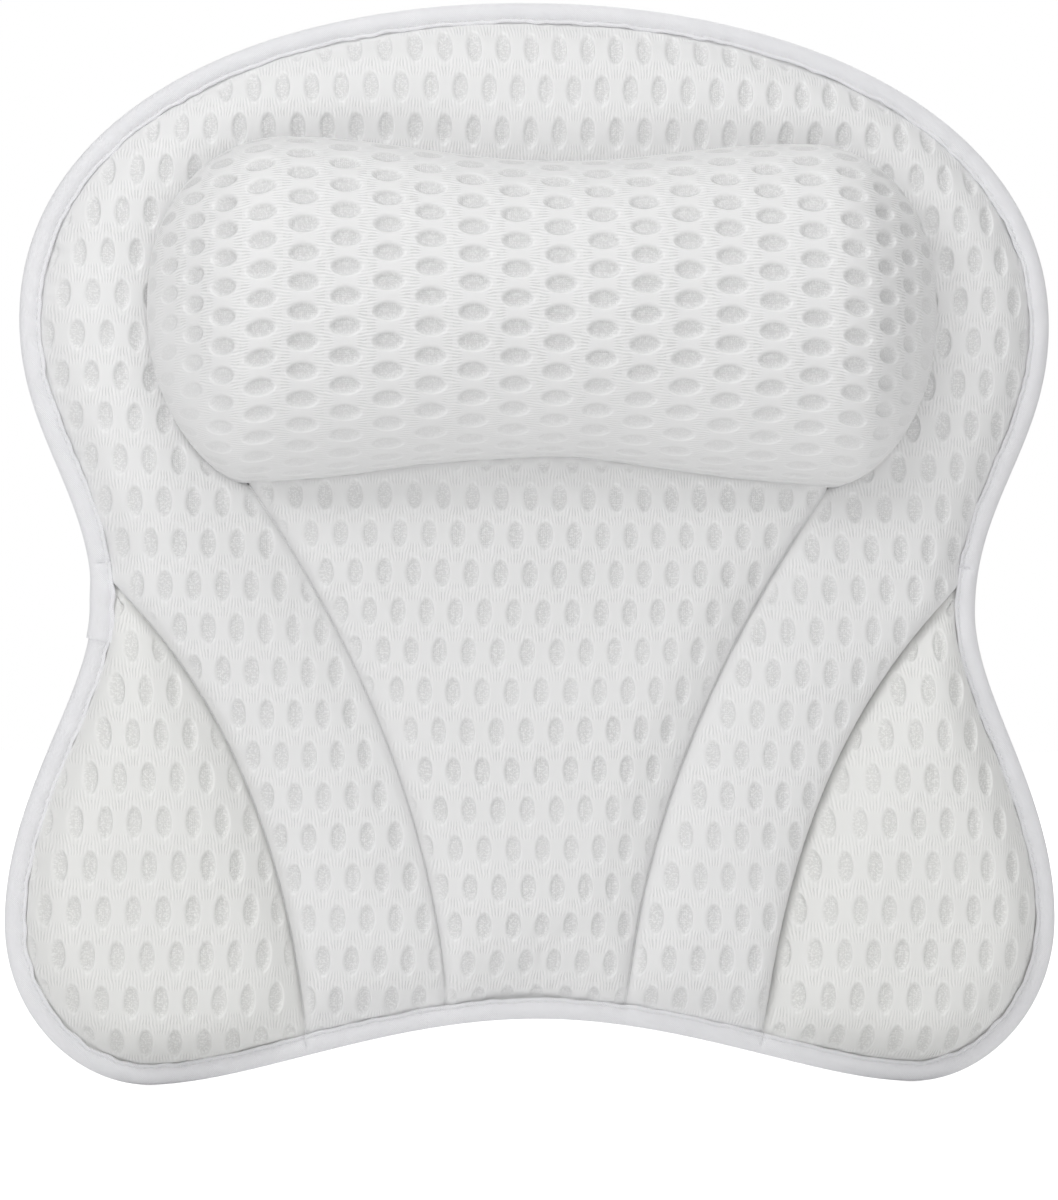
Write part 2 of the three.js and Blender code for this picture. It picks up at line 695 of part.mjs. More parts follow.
// Edge tape folded round the layers: a channel section swept along a stretch of the outline
function tapeSolid(run, cuts) {
  const rear = CUP_STANDOFF - CLEARANCE;
  const front = coverEdge + CLEARANCE;
  const section = [
    [0, rear - TAPE_THICKNESS],
    [TAPE_WIDTH, rear - TAPE_THICKNESS],
    [TAPE_WIDTH, rear],
    [TAPE_THICKNESS, rear],
    [TAPE_THICKNESS, front],
    [TAPE_WIDTH, front],
    [TAPE_WIDTH, front + TAPE_THICKNESS],
    [0, front + TAPE_THICKNESS],
  ];
  const rails = section.map(([inset, level]) => edgeRun(run, inset, cuts).map((p) => placed(p, level)));
  const corners = [];
  rails.forEach((rail, k) => {
    const next = rails[(k + 1) % rails.length];
    for (let i = 0; i < run.length - 1; i += 1) {
      corners.push(rail[i], rail[i + 1], next[i + 1], rail[i], next[i + 1], next[i]);
    }
  });
  const faces = THREE.ShapeUtils.triangulateShape(section.map(([x, y]) => point(x, y)), []);
  faces.forEach(([a, b, c]) => {
    corners.push(rails[a][0], rails[b][0], rails[c][0]);
    corners.push(rails[c].at(-1), rails[b].at(-1), rails[a].at(-1));
  });
  return closed(corners);
}

// Suction cup: a shallow hollow dome with a flat lip, a neck, a knob that holds it and a release tab
const eyeletBore = CUP_NECK_RADIUS + CLEARANCE;
const eyeletTube = eyeletBore + EYELET_WALL;
const eyeletHole = eyeletTube + CLEARANCE;
const eyeletRear = CUP_STANDOFF - CLEARANCE - EYELET_FLANGE;
const eyeletFront = backFront + CLEARANCE + EYELET_FLANGE;
const cupShoulder = eyeletRear - CLEARANCE;
const knobStart = eyeletFront + CLEARANCE;
const knobEnd = knobStart + CUP_KNOB_HEIGHT;
const pocketEnd = knobEnd + POCKET_ROOM;
const pocketRadius = Math.max(EYELET_FLANGE_RADIUS, CUP_KNOB_RADIUS) + POCKET_ROOM;

function turned(profile) {
  const points = profile.map(([radius, level]) => new THREE.Vector2(radius, -level));
  return closedFrom(new THREE.LatheGeometry(points, ROUND_STEPS));
}

function cupGeometry() {
  const domeSide = new THREE.QuadraticBezierCurve(
    point(CUP_SHOULDER_RADIUS, cupShoulder),
    point(CUP_RADIUS * CUP_SIDE_FULLNESS, cupShoulder * CUP_SIDE_FULLNESS),
    point(CUP_RADIUS, CUP_LIP_THICKNESS),
  );
  const hollow = new THREE.QuadraticBezierCurve(
    point(CUP_RADIUS - CUP_LIP_WIDTH, 0),
    point(CUP_RADIUS / 2, CUP_HOLLOW),
    point(0, CUP_HOLLOW),
  );
  const dome = turned([
    [0, knobEnd],
    [CUP_KNOB_RADIUS - CUP_KNOB_CHAMFER, knobEnd],
    [CUP_KNOB_RADIUS, knobEnd - CUP_KNOB_CHAMFER],
    [CUP_KNOB_RADIUS, knobStart],
    [CUP_NECK_RADIUS, knobStart],
    [CUP_NECK_RADIUS, cupShoulder],
    ...domeSide.getPoints(CUP_CURVE_STEPS).map((p) => [p.x, p.y]),
    [CUP_RADIUS, 0],
    ...hollow.getPoints(CUP_CURVE_STEPS).map((p) => [p.x, p.y]),
  ]);
  const tab = new THREE.BoxGeometry(TAB_WIDTH, TAB_THICKNESS, TAB_ROOT + TAB_REACH);
  tab.translate(0, -CUP_LIP_THICKNESS - TAB_THICKNESS / 2, -CUP_RADIUS + (TAB_ROOT - TAB_REACH) / 2);
  return fromSolid(toSolid(dome).add(toSolid(closedFrom(tab))));
}

function eyeletGeometry() {
  const rim = [
    [eyeletBore, eyeletFront],
    [EYELET_FLANGE_RADIUS, eyeletFront],
    [EYELET_FLANGE_RADIUS, eyeletFront - EYELET_FLANGE],
    [eyeletTube, eyeletFront - EYELET_FLANGE],
    [eyeletTube, eyeletRear + EYELET_FLANGE],
    [EYELET_FLANGE_RADIUS, eyeletRear + EYELET_FLANGE],
    [EYELET_FLANGE_RADIUS, eyeletRear],
    [eyeletBore, eyeletRear],
  ];
  return turned([...rim, rim[0]]);
}

const upperCup = point(pillowHalfWidth - UPPER_CUP_INSET, pillowTop - UPPER_CUP_DROP);
const middleCup = point(0, pillowBottom - MIDDLE_CUP_DROP);
const lowerCup = point(0, LOWER_CUP_HEIGHT);
const wingCup = point(WING_HALF_WIDTH - WING_CUP_INSET, WING_WIDEST_HEIGHT + WING_CUP_ABOVE_WIDEST);
const cups = {
  upper_left: mirrored([upperCup])[0],
  upper_right: upperCup,
  middle: middleCup,
  lower: lowerCup,
  left_wing: mirrored([wingCup])[0],
  right_wing: wingCup,
};

// Padding with a pocket for the knob of each cup behind it
function withPockets(padding, places) {
  const depth = pocketEnd - coverBase + POCKET_ROOM;
  const pockets = places.map((p) => {
    const pocket = new THREE.CylinderGeometry(pocketRadius, pocketRadius, depth, ROUND_STEPS);
    pocket.translate(p.x, depth / 2 - pocketEnd, p.y);
    return toSolid(closedFrom(pocket));
  });
  return fromSolid(pockets.reduce((solid, pocket) => solid.subtract(pocket), toSolid(padding)));
}

function eyeletHoles(places) {
  return places.map((p) => circle(p.x, p.y, eyeletHole));
}

function mirrorGeometry(geometry) {
  const copy = geometry.clone();
  copy.scale(-1, 1, 1);
  return closedFrom(copy);
}

// Fabric body: the back, the panels over their foam, the head pillow, the seams and the edge tape
const fabric = new THREE.Group();
const backOutline = [...surroundOuter, ...edgeRun(archOutline, edgeInset, archCuts)];
const wingBackOutline = [...wingSeamSide, ...reversed(wingEdgeSide)];
const mainCups = [cups.upper_left, cups.upper_right, cups.middle, cups.lower];
const pillowSeamInset = SEAM_GAP / 2;
const pillowCover = gridSolid(
  pillowSurface(pillowSeamInset, PILLOW_DEPTH),
  pillowSurface(pillowSeamInset + MESH_THICKNESS, PILLOW_DEPTH - MESH_THICKNESS),
);
const fillingInset = pillowSeamInset + MESH_THICKNESS + FOAM_GAP;
const pillowFilling = gridSolid(
  pillowSurface(fillingInset, PILLOW_DEPTH - MESH_THICKNESS - FOAM_GAP),
  pillowFloor(fillingInset),
);
const pillowSeam = plate(
  shiftedLoop(pillowLoop, -SEAM_WIDTH / 2),
  [shiftedLoop(pillowLoop, SEAM_WIDTH / 2)],
  coverBase,
  PILLOW_SEAM_THICKNESS,
);
const back = plate(backOutline, eyeletHoles(mainCups), CUP_STANDOFF, BACK_THICKNESS);
const centreFoam = withPockets(centre.foam(CENTRE_COLUMNS), [cups.middle, cups.lower]);
const filling = withPockets(pillowFilling, [cups.upper_left, cups.upper_right]);
fabric.add(
  named('back_cover', back, materials.mesh),
  named('surround_cover', surround.cover(SURROUND_COLUMNS), materials.mesh),
  named('surround_foam', surround.foam(SURROUND_COLUMNS), materials.foam),
  named('centre_cover', centre.cover(CENTRE_COLUMNS), materials.mesh),
  named('centre_foam', centreFoam, materials.foam),
  named('head_pillow_cover', pillowCover, materials.mesh),
  named('head_pillow_filling', filling, materials.fibre),
  named('head_pillow_seam', pillowSeam, materials.thread),
  named('head_binding', tapeSolid(headOutline, headCuts), materials.tape),
  named('arch_binding', tapeSolid(archOutline, archCuts), materials.tape),
);

// Pieces that come in pairs: the right one is built and the left one is its mirror image
const wingHoles = eyeletHoles([cups.right_wing]);
const pairs = [
  ['wing_cover', rightWing.cover(WING_COLUMNS), materials.mesh],
  ['wing_foam', withPockets(rightWing.foam(WING_COLUMNS), [cups.right_wing]), materials.foam],
  ['wing_back', plate(wingBackOutline, wingHoles, CUP_STANDOFF, BACK_THICKNESS), materials.mesh],
  ['wing_binding', tapeSolid(wingOutline, wingCuts), materials.tape],
  ['outer_seam', seamStrip(outerSeamRun), materials.thread],
  ['inner_seam', seamStrip(centreSeamRun), materials.thread],
];
pairs.forEach(([name, geometry, material]) => {
  fabric.add(named(`left_${name}`, mirrorGeometry(geometry), material));
  fabric.add(named(`right_${name}`, geometry, material));
});

// Suction cups in their eyelets
const grips = new THREE.Group();
Object.entries(cups).forEach(([name, place]) => {
  const cup = named(`${name}_cup`, cupGeometry(), materials.vinyl);
  const eyelet = named(`${name}_eyelet`, eyeletGeometry(), materials.eyelet);
  [cup, eyelet].forEach((piece) => piece.position.set(place.x, 0, place.y));
  grips.add(cup, eyelet);
});

// Hanging loop: a band of webbing folded into an eye, which hangs from its sewn patch
const tapeAtAnchor = headHalf.find((p) => p.x >= ANCHOR_WIDTH / 2).y - TAPE_WIDTH;
const anchorTop = tapeAtAnchor - CLEARANCE;
const anchorBottom = anchorTop - ANCHOR_HEIGHT;
const anchorLevel = CUP_STANDOFF - CLEARANCE - ANCHOR_THICKNESS;
const loopLevel = CUP_STANDOFF - CLEARANCE - LOOP_THICKNESS;
const anchorOutline = [
  point(-ANCHOR_WIDTH / 2, anchorBottom),
  point(ANCHOR_WIDTH / 2, anchorBottom),
  point(ANCHOR_WIDTH / 2, anchorTop),
  point(-ANCHOR_WIDTH / 2, anchorTop),
];

function bandOutline(halfWidth, top, bottom, rounding) {
  const shape = new THREE.Path();
  shape.moveTo(-halfWidth, top);
  shape.lineTo(halfWidth, top);
  shape.lineTo(halfWidth, bottom + rounding);
  shape.absarc(halfWidth - rounding, bottom + rounding, rounding, 0, -Math.PI / 2, true);
  shape.lineTo(-halfWidth + rounding, bottom);
  shape.absarc(-halfWidth + rounding, bottom + rounding, rounding, -Math.PI / 2, -Math.PI, true);
  return shape.getPoints(CUP_CURVE_STEPS);
}

const loopBand = plate(
  bandOutline(LOOP_WIDTH / 2, 0, -LOOP_LENGTH, LOOP_EYE_ROUNDING + LOOP_BAND),
  [bandOutline(LOOP_WIDTH / 2 - LOOP_BAND, -LOOP_BAND, LOOP_BAND - LOOP_LENGTH, LOOP_EYE_ROUNDING)],
  0,
  LOOP_THICKNESS,
);
const loop = named('hanging_loop', loopBand, materials.webbing);
loop.position.set(0, -loopLevel, anchorBottom - CLEARANCE);
loop.rotation.x = Math.atan2(LOOP_THICKNESS, LOOP_LENGTH);
const patch = plate(anchorOutline, [], anchorLevel, ANCHOR_THICKNESS);
const hanger = new THREE.Group();
hanger.add(named('loop_patch', patch, materials.webbing), loop);

const bathPillow = new THREE.Group();
bathPillow.add(fabric, grips, hanger);
bathPillow.position.z = -middleCup.y;
bathPillow.updateMatrixWorld(true);

export default bathPillow;
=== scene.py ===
import math

import bmesh
import bpy
import numpy as np
from mathutils import Matrix, Vector


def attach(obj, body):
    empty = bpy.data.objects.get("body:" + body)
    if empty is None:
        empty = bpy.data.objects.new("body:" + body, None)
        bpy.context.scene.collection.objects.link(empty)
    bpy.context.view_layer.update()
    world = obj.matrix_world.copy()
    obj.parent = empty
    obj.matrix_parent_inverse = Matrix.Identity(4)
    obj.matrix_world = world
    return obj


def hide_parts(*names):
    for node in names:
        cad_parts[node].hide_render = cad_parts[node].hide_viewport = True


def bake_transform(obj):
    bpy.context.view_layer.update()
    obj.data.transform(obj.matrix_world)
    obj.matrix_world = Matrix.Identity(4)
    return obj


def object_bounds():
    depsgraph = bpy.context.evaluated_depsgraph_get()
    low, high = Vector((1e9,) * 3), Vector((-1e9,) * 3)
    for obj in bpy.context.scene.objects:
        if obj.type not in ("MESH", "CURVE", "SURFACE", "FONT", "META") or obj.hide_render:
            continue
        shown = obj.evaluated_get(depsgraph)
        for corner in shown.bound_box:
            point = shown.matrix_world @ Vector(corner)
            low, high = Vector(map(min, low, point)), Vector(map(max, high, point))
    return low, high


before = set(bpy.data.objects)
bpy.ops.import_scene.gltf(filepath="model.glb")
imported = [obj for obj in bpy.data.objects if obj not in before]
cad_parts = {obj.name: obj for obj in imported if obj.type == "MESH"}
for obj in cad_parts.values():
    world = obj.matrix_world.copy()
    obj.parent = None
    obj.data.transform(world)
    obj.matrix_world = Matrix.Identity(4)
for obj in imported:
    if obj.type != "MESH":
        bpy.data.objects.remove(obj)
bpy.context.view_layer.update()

# Back cover. A flat layer of fine knitted mesh cut to the butterfly outline of the pad, with a
# separate piece behind each wing. It is sewn into the edge binding all round, and the moulded
# eyelets of the suction cups grip it. Its outline and outer seams are the pattern for the panels.
MM = 0.001
SIDES = {"left": -1, "right": 1}
ORIGIN_HEIGHT = 201
PAD_TOP = (0, 418)
HEAD_SIDE = (200, 295)
WAIST = (171.5, 184)
WING_SIDE = (204.5, 62)
WING_TIP = (150, 0)
ARCH_MIDDLE = (0, 25)
SEAM_TOP_HEIGHT = 200
OUTER_SEAM_BEND = (100, 136)
OUTER_FOOT_X = 88.5
WALL_GAP = 13
BACK_THICKNESS = 2
BACK_INSET = 1.2
BACK_PUFF = 0.5
QUILT_REACH = 30
SPINE_FOOT, SPINE_SHARE = 60, 0.68
HEAD_POINTS, SEAM_POINTS, ARCH_POINTS, WING_POINTS = 420, 130, 110, 160
BACK_RINGS = 46
BACK_NET_PITCH = 0.0026
BACK_NET_DEPTH = 0.0006
BACK_HOLE_SHADE, BACK_CLOUD_SHADE = 0.8, 0.25
BACK_WHITE = (0.84, 0.84, 0.84)
BACK_HOLES = (0.6, 0.6, 0.61)


def bezier(*points, count=400):
    share = np.linspace(0, 1, count)[:, None]
    degree = len(points) - 1
    return sum(
        math.comb(degree, k) * (1 - share) ** (degree - k) * share**k * np.array(p, float)
        for k, p in enumerate(points)
    )


def joined(*runs):
    return np.concatenate([runs[0]] + [run[1:] for run in runs[1:]])


def mirrored(run):
    return run[::-1] * (-1, 1)


def travel(run):
    return np.concatenate([[0], np.cumsum(np.linalg.norm(np.diff(run, axis=0), axis=1))])


def evened(run, count):
    way = travel(run)
    at = np.linspace(0, way[-1], count)
    return np.stack([np.interp(at, way, run[:, k]) for k in (0, 1)], axis=1)


def inward(run, distance):
    along = np.gradient(run, axis=0)
    along /= np.linalg.norm(along, axis=1)[:, None]
    return run + distance * np.stack([along[:, 1], -along[:, 0]], axis=1)


def reach(points, line, batch=3000):
    flat = points.reshape(-1, 2)
    found = np.empty(len(flat))
    for start in range(0, len(flat), batch):
        some = flat[start:start + batch]
        nearest = np.argmin(((some[:, None] - line[None]) ** 2).sum(2), axis=1)
        near = line[nearest]
        best = np.full(len(some), np.inf)
        for step in (-1, 1):
            side = line[np.clip(nearest + step, 0, len(line) - 1)] - near
            long = np.maximum((side**2).sum(1), 1e-9)
            foot = np.clip(((some - near) * side).sum(1) / long, 0, 1)
            best = np.minimum(best, np.linalg.norm(some - near - foot[:, None] * side, axis=1))
        found[start:start + batch] = best
    return found.reshape(points.shape[:-1])


def placed(plan, level):
    plan = np.asarray(plan, float)
    level = np.broadcast_to(level, plan.shape[:-1])
    return np.stack([plan[..., 0], -level, plan[..., 1] - ORIGIN_HEIGHT], axis=-1) * MM


def grid_faces(rows, columns, closed_rows=False, closed_columns=False):
    row, column = np.meshgrid(
        np.arange(rows if closed_rows else rows - 1),
        np.arange(columns if closed_columns else columns - 1),
        indexing="ij",
    )
    below, beside = (row + 1) % rows, (column + 1) % columns
    corners = (row, column), (below, column), (below, beside), (row, beside)
    return np.stack([(i * columns + j).ravel() for i, j in corners], axis=1).tolist()


def rim_of(index):
    return np.concatenate([index[:-1, -1], index[-1, :0:-1], index[:0:-1, 0], index[0, :-1]])


def wall_faces(rim, other_rim):
    corners = [rim, np.roll(rim, -1), np.roll(other_rim, -1), other_rim]
    return np.stack(corners, axis=1).tolist()


def put(name, data):
    made = bpy.data.objects.new(name, data)
    bpy.context.scene.collection.objects.link(made)
    return made


def piece(name, vertices, faces, material, fabric=None, merge=1e-6):
    mesh = bpy.data.meshes.new(name)
    mesh.from_pydata(np.asarray(vertices).reshape(-1, 3).tolist(), [], faces)
    if fabric is not None:
        threads = mesh.attributes.new("fabric", "FLOAT_VECTOR", "POINT")
        threads.data.foreach_set("vector", fabric.astype(np.float32).ravel())
    work = bmesh.new()
    work.from_mesh(mesh)
    if merge:
        bmesh.ops.remove_doubles(work, verts=work.verts, dist=merge)
    bmesh.ops.recalc_face_normals(work, faces=work.faces)
    work.to_mesh(mesh)
    work.free()
    mesh.shade_smooth()
    mesh.materials.append(material)
    return put(name, mesh)


def node(tree, kind, inputs=None, **settings):
    made = tree.nodes.new(kind)
    for key, value in settings.items():
        setattr(made, key, value)
    for key, value in (inputs or {}).items():
        if isinstance(value, bpy.types.NodeSocket):
            tree.links.new(value, made.inputs[key])
        else:
            made.inputs[key].default_value = value
    return made


def maths(tree, operation, *values):
    return node(tree, "ShaderNodeMath", dict(enumerate(values)), operation=operation).outputs[0]


def waves(tree, value, pitch):
    return maths(tree, "SINE", maths(tree, "MULTIPLY", value, 2 * math.pi / pitch))


def noise(tree, place, scale, detail):
    inputs = {"Vector": place, "Scale": scale, "Detail": detail}
    return node(tree, "ShaderNodeTexNoise", inputs).outputs[0]


def ramp(tree, value, low, high, to_low=0.0, to_high=1.0):
    inputs = {0: value, 1: low, 2: high, 3: to_low, 4: to_high}
    return node(tree, "ShaderNodeMapRange", inputs, interpolation_type="SMOOTHSTEP").outputs[0]


def finish_of(name, **sockets):
    material = bpy.data.materials.new(name)
    material.use_nodes = True
    shader = material.node_tree.nodes["Principled BSDF"]
    for key, value in sockets.items():
        shader.inputs[key.replace("_", " ")].default_value = value
    return material, material.node_tree, shader


def on_object(tree):
    return node(tree, "ShaderNodeTexCoord").outputs["Object"]


def split(tree, place):
    return node(tree, "ShaderNodeSeparateXYZ", {0: place}).outputs


def tinted(tree, shader, share, plain, full):
    colours = {0: share, 6: (*plain, 1), 7: (*full, 1)}
    mix = node(tree, "ShaderNodeMix", colours, data_type="RGBA")
    tree.links.new(mix.outputs[2], shader.inputs["Base Color"])


def dented(tree, shader, height, distance):
    bump = node(tree, "ShaderNodeBump", {"Height": height, "Distance": distance, "Strength": 1.0})
    tree.links.new(bump.outputs[0], shader.inputs["Normal"])


def back_mesh_finish():
    material, tree, shader = finish_of("back_mesh", Roughness=0.85, Sheen_Weight=0.1)
    place = on_object(tree)
    axes = split(tree, place)
    across, up = (waves(tree, axes[axis], BACK_NET_PITCH) for axis in ("X", "Z"))
    holes = ramp(tree, maths(tree, "MULTIPLY", across, up), 0.25, 0.75)
    cloud = noise(tree, place, scale=30.0, detail=3.0)
    shade = maths(tree, "MULTIPLY", holes, BACK_HOLE_SHADE)
    shade = maths(tree, "MULTIPLY_ADD", cloud, BACK_CLOUD_SHADE, shade)
    tinted(tree, shader, shade, BACK_WHITE, BACK_HOLES)
    dented(tree, shader, maths(tree, "SUBTRACT", 1.0, holes), BACK_NET_DEPTH)
    return material


def slab(name, plan, closed):
    rows, columns = plan.shape[:2]
    index = np.arange(rows * columns).reshape(rows, columns)
    rim = index[:, 0] if closed else rim_of(index)
    edge = plan.reshape(-1, 2)[rim]
    quilt = np.sin(np.clip(reach(plan, edge) / QUILT_REACH, 0, 1) * math.pi / 2)
    rear = placed(plan, WALL_GAP + BACK_PUFF * (1 - quilt)).reshape(-1, 3)
    front = placed(plan, WALL_GAP + BACK_THICKNESS).reshape(-1, 3)
    faces = grid_faces(rows, columns, closed_rows=closed)
    faces += (np.array(faces)[:, ::-1] + rows * columns).tolist()
    faces += wall_faces(rim, rim + rows * columns)
    made = piece(name, np.concatenate([rear, front]), faces, back_finish)
    return made


head = bezier(PAD_TOP, (110, 418), (200, 373), HEAD_SIDE)
flank = bezier(HEAD_SIDE, (200, 250), (171.5, 228), WAIST)
hip = bezier(WAIST, (171.5, 149), (204.5, 112), WING_SIDE)
lobe = bezier(WING_SIDE, (204.5, 26), (177, 0), WING_TIP)
arch = bezier(WING_TIP, (112, 0), (60, 25), ARCH_MIDDLE)
above_seam = flank[flank[:, 1] >= SEAM_TOP_HEIGHT]
below_seam = flank[flank[:, 1] <= SEAM_TOP_HEIGHT]
outside_seam = arch[arch[:, 0] >= OUTER_FOOT_X]
inside_seam = arch[arch[:, 0] <= OUTER_FOOT_X]
outer_seam = bezier(above_seam[-1], OUTER_SEAM_BEND, outside_seam[-1])
head_half = joined(head, above_seam)
head_edge = joined(mirrored(head_half), head_half)
wing_edge = joined(below_seam, hip, lobe, outside_seam)
arch_edge = joined(inside_seam, mirrored(inside_seam))
back_finish = back_mesh_finish()
pad_edge = joined(
    evened(head_edge, HEAD_POINTS), evened(outer_seam, SEAM_POINTS),
    evened(arch_edge, ARCH_POINTS), evened(mirrored(outer_seam), SEAM_POINTS),
)[:-1]
spine_height = SPINE_FOOT + SPINE_SHARE * np.maximum(pad_edge[:, 1], ARCH_MIDDLE[1])
spine = np.stack([np.zeros(len(pad_edge)), spine_height], axis=1)
inner_share = np.linspace(0, 1, BACK_RINGS)[None, :, None]
back_rim = inward(pad_edge, BACK_INSET)[:, None]
back = slab("back_mesh", back_rim * (1 - inner_share) + spine[:, None] * inner_share, True)
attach(back, "pad")
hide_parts("back_cover")
seam_chord = outer_seam[-1] - outer_seam[0]
seam_chord /= np.linalg.norm(seam_chord)
for side, sign in SIDES.items():
    seam_side = evened(outer_seam, WING_POINTS)[:, None] * (sign, 1)
    edge_side = inward(evened(wing_edge, WING_POINTS), BACK_INSET)[:, None] * (sign, 1)
    wing_plan = seam_side * (1 - inner_share) + edge_side * inner_share
    wing_back = slab(f"{side}_wing_back_mesh", wing_plan, False)
    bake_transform(wing_back)
    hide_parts(f"{side}_wing_back")

# Padded panels. Spacer mesh, knitted with rows of oval dimples, sewn over foam pads. The surround is
# one horseshoe over the head and down both sides, the centre lies between the inner seams, and a
# fuller wing closes each side. Along a seam the fabric turns down into the crease.
PILLOW_CORNER = (114, 233)
PILLOW_SIDE = (149, 297)
PILLOW_LOBE = (100, 360)
PILLOW_DIP = (0, 352)
PILLOW_LOW = (0, 243)
INNER_SEAM_BEND = (41, 128)
INNER_FOOT_X = 34.5
COVER_BASE = 15.3
LAYER = 2.5
LIP = 3.6
HEM_LIP, HEM_REACH = 0.58, 2.5
UNDER_TAPE = 2.5
TAPE_COVERS = 6.9
TAPE_RISE = 11
STEEP_SEAM = (5, 0.5)
GENTLE_SEAM = (12, 0.45)
WING_SEAM = (16, 0.8)
VALLEY = (0.62, 15)
CENTRE_VALLEY = (0.3, 10)
SURROUND_CROWN = 14.5
CENTRE_CROWN = 13.5
WING_CROWN = 23
CENTRE_BOWS = (3.2, 10)
CENTRE_STRETCH, WING_STRETCH = 0.95, 1.06
FAR_OFF = 1e3
PITCH = 11.2
ROW = 16
PANEL_OVAL = (3.0, 6.1)
DIMPLE_DEPTH = 1.5
DRIFT, DRIFT_ACROSS, DRIFT_ALONG = 1.6, 120, 140
PUCKER, PUCKER_LENGTH = 0.5, 13
GATHER, GATHER_LENGTH = 1.1, 9
RIPPLE, RIPPLE_LENGTH = 0.8, 55
UNEVEN_DIMPLES, UNEVEN_LENGTH = 0.18, 60
RIPPLE_WAVES = 7
LIP_STEPS = np.array([0, 0.3, 0.7, 1.2, 1.9, 2.8])
SEAM_ROWS, HEAD_ROWS, WING_ROWS = 236, 820, 366
SEAM_LINE_POINTS, PILLOW_LINE_POINTS, LOW_EDGE_POINTS = 170, 420, 230
HEAD_HEM_POINTS, ARCH_HEM_POINTS, WING_HEM_POINTS, WING_CUT_POINTS = 700, 150, 330, 1500
CLOTH_CELL, CLOTH_CELLS_LEAST = 7, 8
CLOTH_FRAMES = 20
CLOTH_QUALITY = 6
CLOTH_MASS = 0.2
CLOTH_BENDING = 2.0
CLOTH_PRESSURE = 4.0
PANEL_SETTLING = 0.003
RIB_PITCH, RIB_FAN, RIB_UNEVEN, RIB_BUNDLE = 1.3, 1.3, 0.9, 0.34
FLOOR_NET_PITCH = 1.5
WEB_SHADE, FLOOR_SHADE, CLOUD_SHADE = 0.24, 0.46, 0.1
# The negative rim strength lightens the base colour in a thin ring on the lit side of each dimple: a
# painted highlight, not a colour of the knit.
KNIT_SHADES = {"Net": 0.1, "Rib": 0.72, "Painted rim highlight": -0.45}
RIB_RELIEF, NET_RELIEF, FUZZ_RELIEF, KNIT_RELIEF = 0.2, 0.2, 0.12, 0.0004
WEB_WHITE, FLOOR_GREY = (0.93, 0.93, 0.93), (0.7, 0.7, 0.7)
WING_WEB_WHITE, WING_FLOOR_GREY = (0.93, 0.93, 0.915), (0.7, 0.7, 0.685)
PANEL_SPARKLE = 0.65


def eased(low, high, value):
    share = np.clip((value - low) / (high - low), 0, 1)
    return share * share * (3 - 2 * share)


def oval_depth(across, along, oval):
    row = np.round(along / ROW)
    beside = across / PITCH + 0.5 * np.mod(row, 2)
    beside = (beside - np.round(beside)) * PITCH / oval[0]
    ahead = (along / ROW - row) * ROW / oval[1]
    return eased(1.06, 0.6, np.hypot(beside, ahead))


def wander(x, y, length, seed):
    chance = np.random.RandomState(seed)
    total = 0
    for turn, phase, stretch in chance.uniform(0, 1, (RIPPLE_WAVES, 3)):
        angle = turn * 2 * math.pi
        wave = (x * math.cos(angle) + y * math.sin(angle)) / (length * (0.6 + 0.8 * stretch))
        total = total + np.sin(2 * math.pi * (wave + phase))
    return total / RIPPLE_WAVES


def graded(lengths, count):
    lengths = np.asarray(lengths, float)[:, None]
    lips = LIP_STEPS[None] * np.minimum(1, lengths / (4 * LIP_STEPS[-1])) / lengths
    middle = lips[:, -1:] + (1 - 2 * lips[:, -1:]) * np.linspace(0, 1, count)[None, 1:-1]
    return np.concatenate([lips, middle, 1 - lips[:, ::-1]], axis=1)


def picked(run, share):
    at = share * (len(run) - 1)
    return np.stack([np.interp(at, np.arange(len(run)), run[:, k]) for k in (0, 1)], axis=-1)


def normals_of(grid):
    down, right = np.gradient(grid, axis=0), np.gradient(grid, axis=1)
    out = np.cross(down, right)
    out /= np.maximum(np.linalg.norm(out, axis=-1, keepdims=True), 1e-12)
    return out * np.where(out[..., 1:2].mean() > 0, -1, 1)


def settled(grid, cap):
    rows, columns = grid.shape[:2]
    mesh = bpy.data.meshes.new("cloth")
    mesh.from_pydata(grid.reshape(-1, 3).tolist(), [], grid_faces(rows, columns))
    cloth = put("cloth", mesh)
    edge = np.ones((rows, columns), bool)
    edge[1:-1, 1:-1] = False
    sewn_down = cloth.vertex_groups.new(name="sewn")
    sewn_down.add(np.flatnonzero(edge.ravel()).tolist(), 1.0, "REPLACE")
    if sum(face.normal.y * face.area for face in mesh.polygons) > 0:
        mesh.flip_normals()
    settings = cloth.modifiers.new("cloth", "CLOTH").settings
    settings.vertex_group_mass = "sewn"
    settings.use_pressure = True
    settings.uniform_pressure_force = CLOTH_PRESSURE
    settings.effector_weights.gravity = 0
    settings.quality = CLOTH_QUALITY
    settings.mass = CLOTH_MASS
    settings.bending_stiffness = CLOTH_BENDING
    for step in range(1, CLOTH_FRAMES + 1):
        bpy.context.scene.frame_set(step)
    evaluated = cloth.evaluated_get(bpy.context.evaluated_depsgraph_get())
    moved = np.array([v.co for v in evaluated.data.vertices]).reshape(grid.shape) - grid
    bpy.context.scene.frame_set(1)
    bpy.data.objects.remove(cloth)
    length = np.linalg.norm(moved, axis=-1, keepdims=True)
    return moved * np.minimum(1, cap / np.maximum(length, 1e-9))


